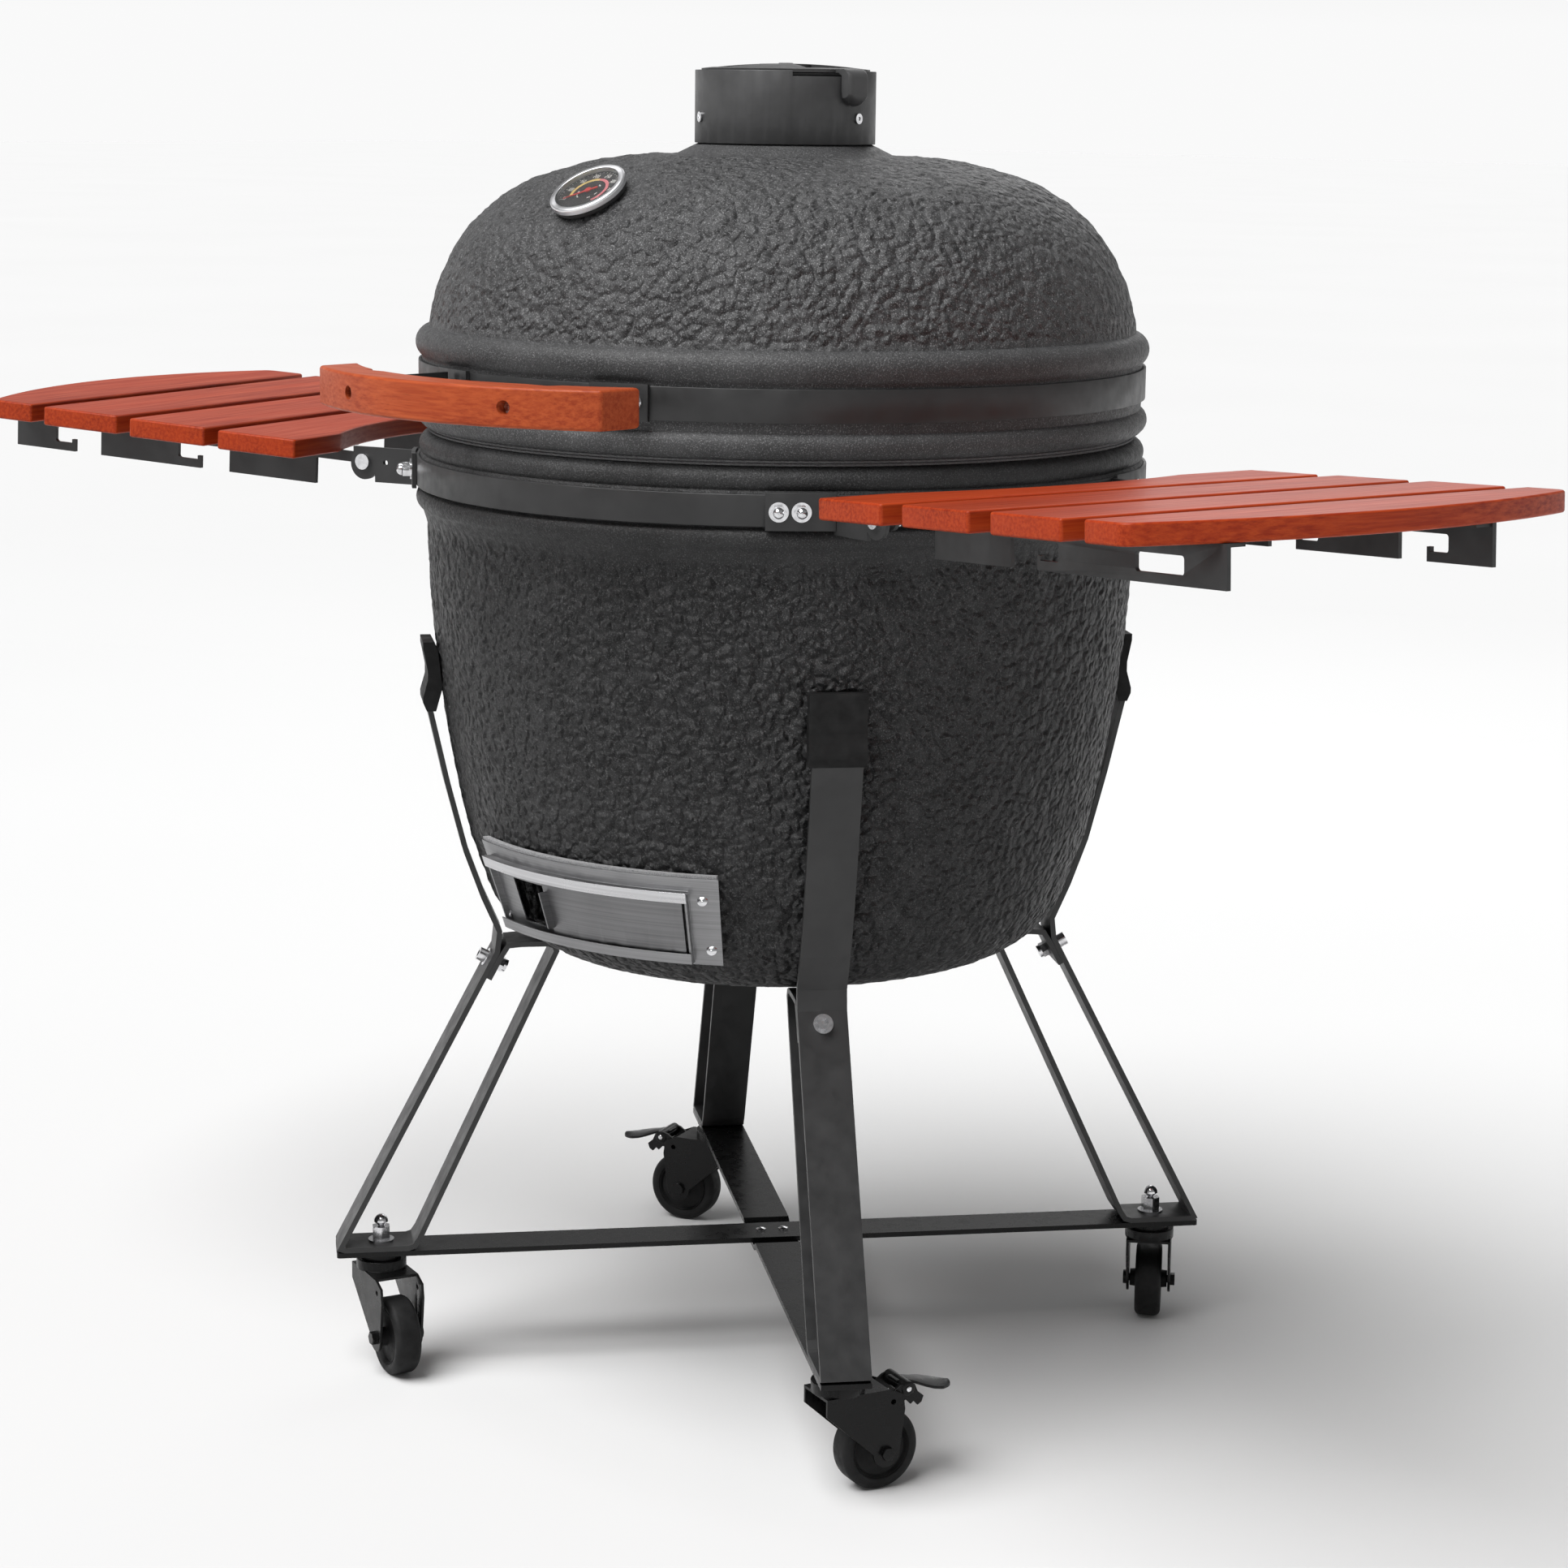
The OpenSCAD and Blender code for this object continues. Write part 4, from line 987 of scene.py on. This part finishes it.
def make_wheels(finishes):
    """Tyre with rounded shoulders on a ribbed hub."""
    half = [(4.1, 18.6), (8.4, 18.6), (9.2, 11.2), (11, 9.8), (22.5, 8.4), (24.4, 8.6), (25.4, 10.4),
            (26.2, 11.6), (27.0, 10.9), (28.0, 12.2), (31.0, 12.9)]
    half += arc((31.3, 6.8), 6.1, 84, 12, 7)
    outline = half + [(r, -z) for r, z in reversed(half)]
    for i, corner in enumerate(CORNERS):
        place = (caster_place(i) @ Matrix.Translation(Vector((TRAIL, 0, AXLE_Z)) * MM)
                 @ Matrix.Rotation(math.radians(90), 4, "X"))
        wheel = add_piece(f"tyre_{corner}", revolve(outline, 128), finishes["rubber"], place)
        smooth(wheel, 32)
        tidy_normals(wheel)
        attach(wheel, f"wheel_{corner}")
        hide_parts(f"wheel_{corner}")


# Half width of the pedal's leaf against the distance from the brake's pin
LEAF = ((6, 8.5), (14, 7.5), (22, 9.5), (30, 14.5), (36, 16.8),
        (46, 15.6), (54, 10.5), (59, 6), (60, 3))
LEAF_END = 60
LEAF_ROWS = 28
LEAF_THICK = 2.6
# Where the rolled tube's axis is from the brake's pin, out and up
TUBE = (17, 8)
SIDE_PLATE = [(-5, -5), (4, -6), (15, -2), (20, -7), (23, -4.5), (27, -9), (31, -6.5), (33, -1),
              (27, 4), (24, 11), (17, 14.6), (9, 12), (-1, 5), (-5, 2)]


def leaf_half_width(x):
    """Half width of the leaf there, between the listed ones."""
    for (x0, w0), (x1, w1) in zip(LEAF, LEAF[1:]):
        if x0 <= x <= x1:
            return w0 + (w1 - w0) * (x - x0) / (x1 - x0)
    return LEAF[-1][1]


def make_leaf(name, material, place):
    """The pedal: a thin leaf that droops toward its tip, with a crowned top."""
    points, faces = [], []
    rows = []
    for k in range(LEAF_ROWS):
        x = 2 + (LEAF_END - 2) * k / (LEAF_ROWS - 1)
        z = TUBE[1] + 4.4 - 10.5 * fade(x, 2, LEAF_END)
        half = leaf_half_width(max(6, x))
        row = []
        for step in range(9):
            t = -1 + step / 4
            row.append(len(points))
            points.append((x + 8, t * half, z + 1.3 - 1.6 * t * t * fade(x, 10, 30)))
        rows.append(row)
    size = len(points)
    points += [(x, y, z - LEAF_THICK) for x, y, z in points]
    for row, following in zip(rows, rows[1:]):
        for a in range(8):
            quad = (row[a], following[a], following[a + 1], row[a + 1])
            faces.append(quad)
            faces.append(tuple(size + v for v in (quad[0], quad[3], quad[2], quad[1])))
        for a in (0, 8):
            faces.append((row[a], following[a], size + following[a], size + row[a]))
    for row in (rows[0], rows[-1]):
        for a in range(8):
            faces.append((row[a], row[a + 1], size + row[a + 1], size + row[a]))
    leaf = add_piece(name, (points, faces), material, place)
    tidy_normals(leaf)
    return bevel(leaf, 0.7, 2, 50)


def make_brake(name, i, body, node, finishes):
    """Rolled steel tube across the fork with a leaf-shaped pedal, on two toothed side plates."""
    place = caster_place(i) @ Matrix.Translation(Vector((BRAKE_X, 0, BRAKE_Z)) * MM)
    across = place @ Matrix.Rotation(math.radians(90), 4, "X")
    coat = finishes["gloss"]
    tube = [(2.6, -18.6), (5.2, -18.6), (6.6, -17.6), (6.6, 17.6), (5.2, 18.6), (2.6, 18.6)]
    seat = across @ Matrix.Translation(Vector((*TUBE, 0)) * MM)
    roll = smooth(add_piece(f"{name}_tube", revolve(tube, 48), coat, seat), 40)
    tidy_normals(roll)
    bolt = [(0.3, -20.0), (1.6, -20.0), (2.4, -19.4), (2.4, 19.4), (1.6, 20.0), (0.3, 20.0)]
    pin = smooth(add_piece(f"{name}_pin", revolve(bolt, 32), finishes["chrome"], seat), 40)
    tidy_normals(pin)
    leaf = make_leaf(f"{name}_leaf", coat, place)
    plates = joined([slab(SIDE_PLATE, -17.4, -14.6), slab(SIDE_PLATE, 14.6, 17.4)])
    sides = add_piece(f"{name}_side_plates", plates, coat, across)
    tidy_normals(sides)
    bevel(sides, 0.5, 2, 50)
    for piece, slot in ((roll, "black_coat"), (pin, "chrome_parts"),
                        (leaf, "black_coat"), (sides, "black_coat")):
        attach(piece, body)
        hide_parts(node)


# ---------- stage ----------

SUN_STRENGTH = 5.0
SUN_AZIMUTH = -14
SUN_HEIGHT = 62
SUN_SPREAD = 46
SKY_HIGH = 0.26
SKY_LOW = 0.95
FLOOR_REACH = 60000
REAR_LIGHT = ((-1.6, 3.4, 2.8), 2.0, 16)
LAMP_TARGET = (0, 0, 0.75)


def make_stage():
    """A wide pale floor, a soft high sun from the front, a weak lamp behind and an even sky."""
    f = Finish("floor_paper", (0.56, 0.56, 0.56), 0.9, Specular_IOR_Level=0.0)
    f.colour(f.blend(f.noise(0.6, 2), (0.55, 0.55, 0.55), (0.57, 0.57, 0.57)))
    corners = [(x * FLOOR_REACH, y * FLOOR_REACH, 0) for x, y in ((-1, -1), (1, -1), (1, 1), (-1, 1))]
    add_piece("floor", (corners, [(0, 1, 2, 3)]), f.material)
    make_sky()
    sun = bpy.data.lights.new("high_sun", "SUN")
    sun.energy = SUN_STRENGTH
    sun.angle = math.radians(SUN_SPREAD)
    lamp = bpy.data.objects.new("high_sun", sun)
    bpy.context.scene.collection.objects.link(lamp)
    turn = math.radians(SUN_AZIMUTH)
    rise = math.radians(SUN_HEIGHT)
    aim = -Vector((math.sin(turn) * math.cos(rise), -math.cos(turn) * math.cos(rise), math.sin(rise)))
    lamp.rotation_euler = aim.to_track_quat("-Z", "Y").to_euler()
    soft_light("rear_light", *REAR_LIGHT)


def make_sky():
    """Sky that is as bright as the lit floor at the horizon and dimmer overhead."""
    world = bpy.data.worlds.new("studio")
    world.use_nodes = True
    nodes = world.node_tree.nodes
    links = world.node_tree.links
    place = nodes.new("ShaderNodeTexCoord")
    parts = nodes.new("ShaderNodeSeparateXYZ")
    height = nodes.new("ShaderNodeMapRange")
    height.inputs["From Min"].default_value = 0.02
    height.inputs["From Max"].default_value = 0.30
    height.inputs["To Min"].default_value = SKY_LOW
    height.inputs["To Max"].default_value = SKY_HIGH
    links.new(place.outputs["Generated"], parts.inputs["Vector"])
    links.new(parts.outputs["Z"], height.inputs["Value"])
    links.new(height.outputs["Result"], nodes["Background"].inputs["Strength"])
    nodes["Background"].inputs["Color"].default_value = (1, 1, 1, 1)
    bpy.context.scene.world = world


def soft_light(name, place, size, power):
    data = bpy.data.lights.new(name, "AREA")
    data.shape = "DISK"
    data.size = size
    data.energy = power
    lamp = bpy.data.objects.new(name, data)
    bpy.context.scene.collection.objects.link(lamp)
    lamp.location = place
    aim = Vector(LAMP_TARGET) - Vector(place)
    lamp.rotation_euler = aim.to_track_quat("-Z", "Y").to_euler()


# ---------- CAD nodes that stay ----------

def dress(material, *names):
    for name in names:
        mesh = NODES[name].data
        mesh.materials.clear()
        mesh.materials.append(material)


def dress_cad(finishes):
    """Finishes of the CAD nodes that show as they are."""
    dress(finishes["coat"], "base_band", "lid_band", "hinge_lower", "hinge_upper",
          "shelf_arms_left", "shelf_arms_right", "handle_bracket_left", "handle_bracket_right",
          "shelf_brackets_left", "shelf_brackets_right", *(f"leg_{c}" for c in CORNERS))
    dress(finishes["gloss"], "crossbar_wide", "crossbar_deep", *(f"caster_fork_{c}" for c in CORNERS))
    dress(finishes["cast"], "vent_housing")
    dress(finishes["grate"], "charcoal_grate")
    dress(finishes["clay"], "firebox", "fire_ring")
    dress(finishes["brushed"], "draft_frame", "draft_screen")
    dress(finishes["door"], "draft_door")
    dress(finishes["wire"], "cooking_grate", "hinge_springs", "thermometer_probe")
    dress(finishes["chrome"], "draft_screws", "hinge_pin", "shelf_pivots", "base_band_nuts",
          "leg_bolts", "crossbar_screws", "caster_stems", "vent_screws", "handle_bolts")
    dress(finishes["felt_pale"], "draft_gasket")
    dress(finishes["rubber"], "leg_pads")
    dress(finishes["dial"], "thermometer_dial")
    dress(finishes["needle"], "thermometer_needle")
    dress(finishes["lens"], "thermometer_lens")


# Bevel width in millimetres, and the nodes that have it
SOFT_EDGES = {
    0.9: ("crossbar_wide", "crossbar_deep", *(f"leg_{c}" for c in CORNERS),
          "shelf_arms_left", "shelf_arms_right", "handle_bracket_left", "handle_bracket_right",
          "hinge_lower", "hinge_upper"),
    0.5: ("shelf_brackets_left", "shelf_brackets_right", "base_band", "lid_band", "vent_housing",
          *(f"caster_fork_{c}" for c in CORNERS), "charcoal_grate"),
    1.6: ("leg_pads",),
    0.25: ("draft_frame", "draft_door", "draft_screen"),
}


def soften_cad():
    """Breaks the sharp edges of the plates and bars that are used as they come."""
    for width, names in SOFT_EDGES.items():
        for name in names:
            node = NODES[name]
            weld = node.modifiers.new("joined_points", "WELD")
            weld.merge_threshold = 0.00001
            flat = node.modifiers.new("flat_faces", "DECIMATE")
            flat.decimate_type = "DISSOLVE"
            flat.angle_limit = math.radians(0.5)
            edge = node.modifiers.new("broken_edges", "BEVEL")
            edge.width = width * MM
            edge.segments = 2
            edge.limit_method = "ANGLE"
            edge.angle_limit = math.radians(40)
            edge.harden_normals = True


def second_finish(name, material, chosen):
    """Gives the faces of a CAD node that chosen(centre in mm) picks out a second finish."""
    node = NODES[name]
    node.data.materials.append(material)
    for face in node.data.polygons:
        if chosen((node.matrix_world @ face.center - AXIS) / MM):
            face.material_index = 1


RACE_HEIGHTS = (104.5, 111.5)
# The draft's sheet leans out with height: its radius at one height, and how much it gains
SHEET_R = 303
SHEET_Z = 532
SHEET_LEAN = 0.34
RAIL_PROUD = 8.5
RAIL_LOW = 500


def is_race(centre):
    """The swivel races under the crossbars; the stems and nuts stay bright."""
    return RACE_HEIGHTS[0] < centre.z < RACE_HEIGHTS[1]


def is_rail(centre):
    """The upper folded rail stands proud of the leaning sheet."""
    sheet = SHEET_R + SHEET_LEAN * (centre.z - SHEET_Z)
    return centre.z > RAIL_LOW and math.hypot(centre.x, centre.y) - sheet > RAIL_PROUD


# ---------- build ----------

def make_finishes():
    return {
        "dome_glaze": ceramic_finish("dome_glaze", 0.032, 0.048, 0.0062),
        # The base's glaze is the lid's glaze painted darker: painted shade, as the base's sides and
        # underside face away from the light above
        "bowl_glaze_painted_shade": ceramic_finish("bowl_glaze_painted_shade", 0.013, 0.022, 0.0120),
        "clay": refractory_finish(),
        "coat": coat_finish("satin_black_coat", 0.016, 0.44, 1400, 0.00003),
        "gloss": coat_finish("gloss_black_coat", 0.003, 0.28, 1400, 0.00002, 0.22),
        "cast": coat_finish("cast_black", 0.042, 0.46, 900, 0.00004),
        "grate": coat_finish("grate_iron", 0.03, 0.7, 300, 0.0004),
        "brushed": steel_finish("brushed_stainless", 0.27, 0.38, (6, 6, 900)),
        # The same steel as the frame, painted lighter: a painted highlight for the upper rail's lit
        # faces
        "rail": steel_finish("rail_painted_highlight", 0.62, 0.28, (6, 6, 500)),
        "door": steel_finish("door_steel", 0.20, 0.40, (5, 5, 700)),
        "wire": steel_finish("drawn_stainless", 0.6, 0.28, (300, 6, 300)),
        "chrome": chrome_finish(),
        "bezel": steel_finish("turned_bezel", 0.88, 0.30, (40, 40, 40)),
        "shelf_wood": wood_finish("stained_shelf", (0.42, 0.060, 0.011), (0.29, 0.027, 0.005),
                                  (0.14, 0.009, 0.003), 0.40),
        "grip_wood": wood_finish("stained_grip", (0.42, 0.085, 0.024), (0.32, 0.052, 0.015),
                                 (0.21, 0.028, 0.009), 0.42),
        "rubber": rubber_finish(),
        "felt": felt_finish("gasket_felt", 0.13),
        "felt_pale": felt_finish("draft_felt", 0.30),
        "dial": paint_finish("dial_black", (0.012, 0.012, 0.012)),
        "needle": paint_finish("needle_red", (0.62, 0.03, 0.02)),
        "dial_yellow": paint_finish("dial_yellow", (0.78, 0.55, 0.16)),
        "dial_pink": paint_finish("dial_pink", (0.75, 0.22, 0.24)),
        "dial_white": paint_finish("dial_white", (0.85, 0.84, 0.80)),
        "lens": lens_finish(),
    }


def main():
    make_camera()
    make_stage()
    finishes = make_finishes()
    dress_cad(finishes)
    make_bowl(finishes["bowl_glaze_painted_shade"])
    make_dome(finishes["dome_glaze"])
    make_gasket("gasket_lower", SEAM - GASKET, "base", "base_gasket", finishes["felt"])
    make_gasket("gasket_upper", SEAM + 0.1, "lid", "lid_gasket", finishes["felt"])
    make_slats(-1, "left_shelf", finishes["shelf_wood"])
    make_slats(1, "right_shelf", finishes["shelf_wood"])
    make_grip(finishes["grip_wood"])
    make_thermometer(finishes)
    make_damper(finishes["cast"])
    make_wheels(finishes)
    make_brake("front_brake", 1, "brake_front_right", "brake_front_right", finishes)
    make_brake("rear_brake", 3, "brake_rear_left", "brake_rear_left", finishes)
    soften_cad()
    second_finish("caster_stems", finishes["gloss"], is_race)
    # The proud upper rail's faces take the lighter copy of the frame's steel as a painted highlight
    second_finish("draft_frame", finishes["rail"], is_rail)
    bpy.context.scene.view_settings.view_transform = "Standard"


main()
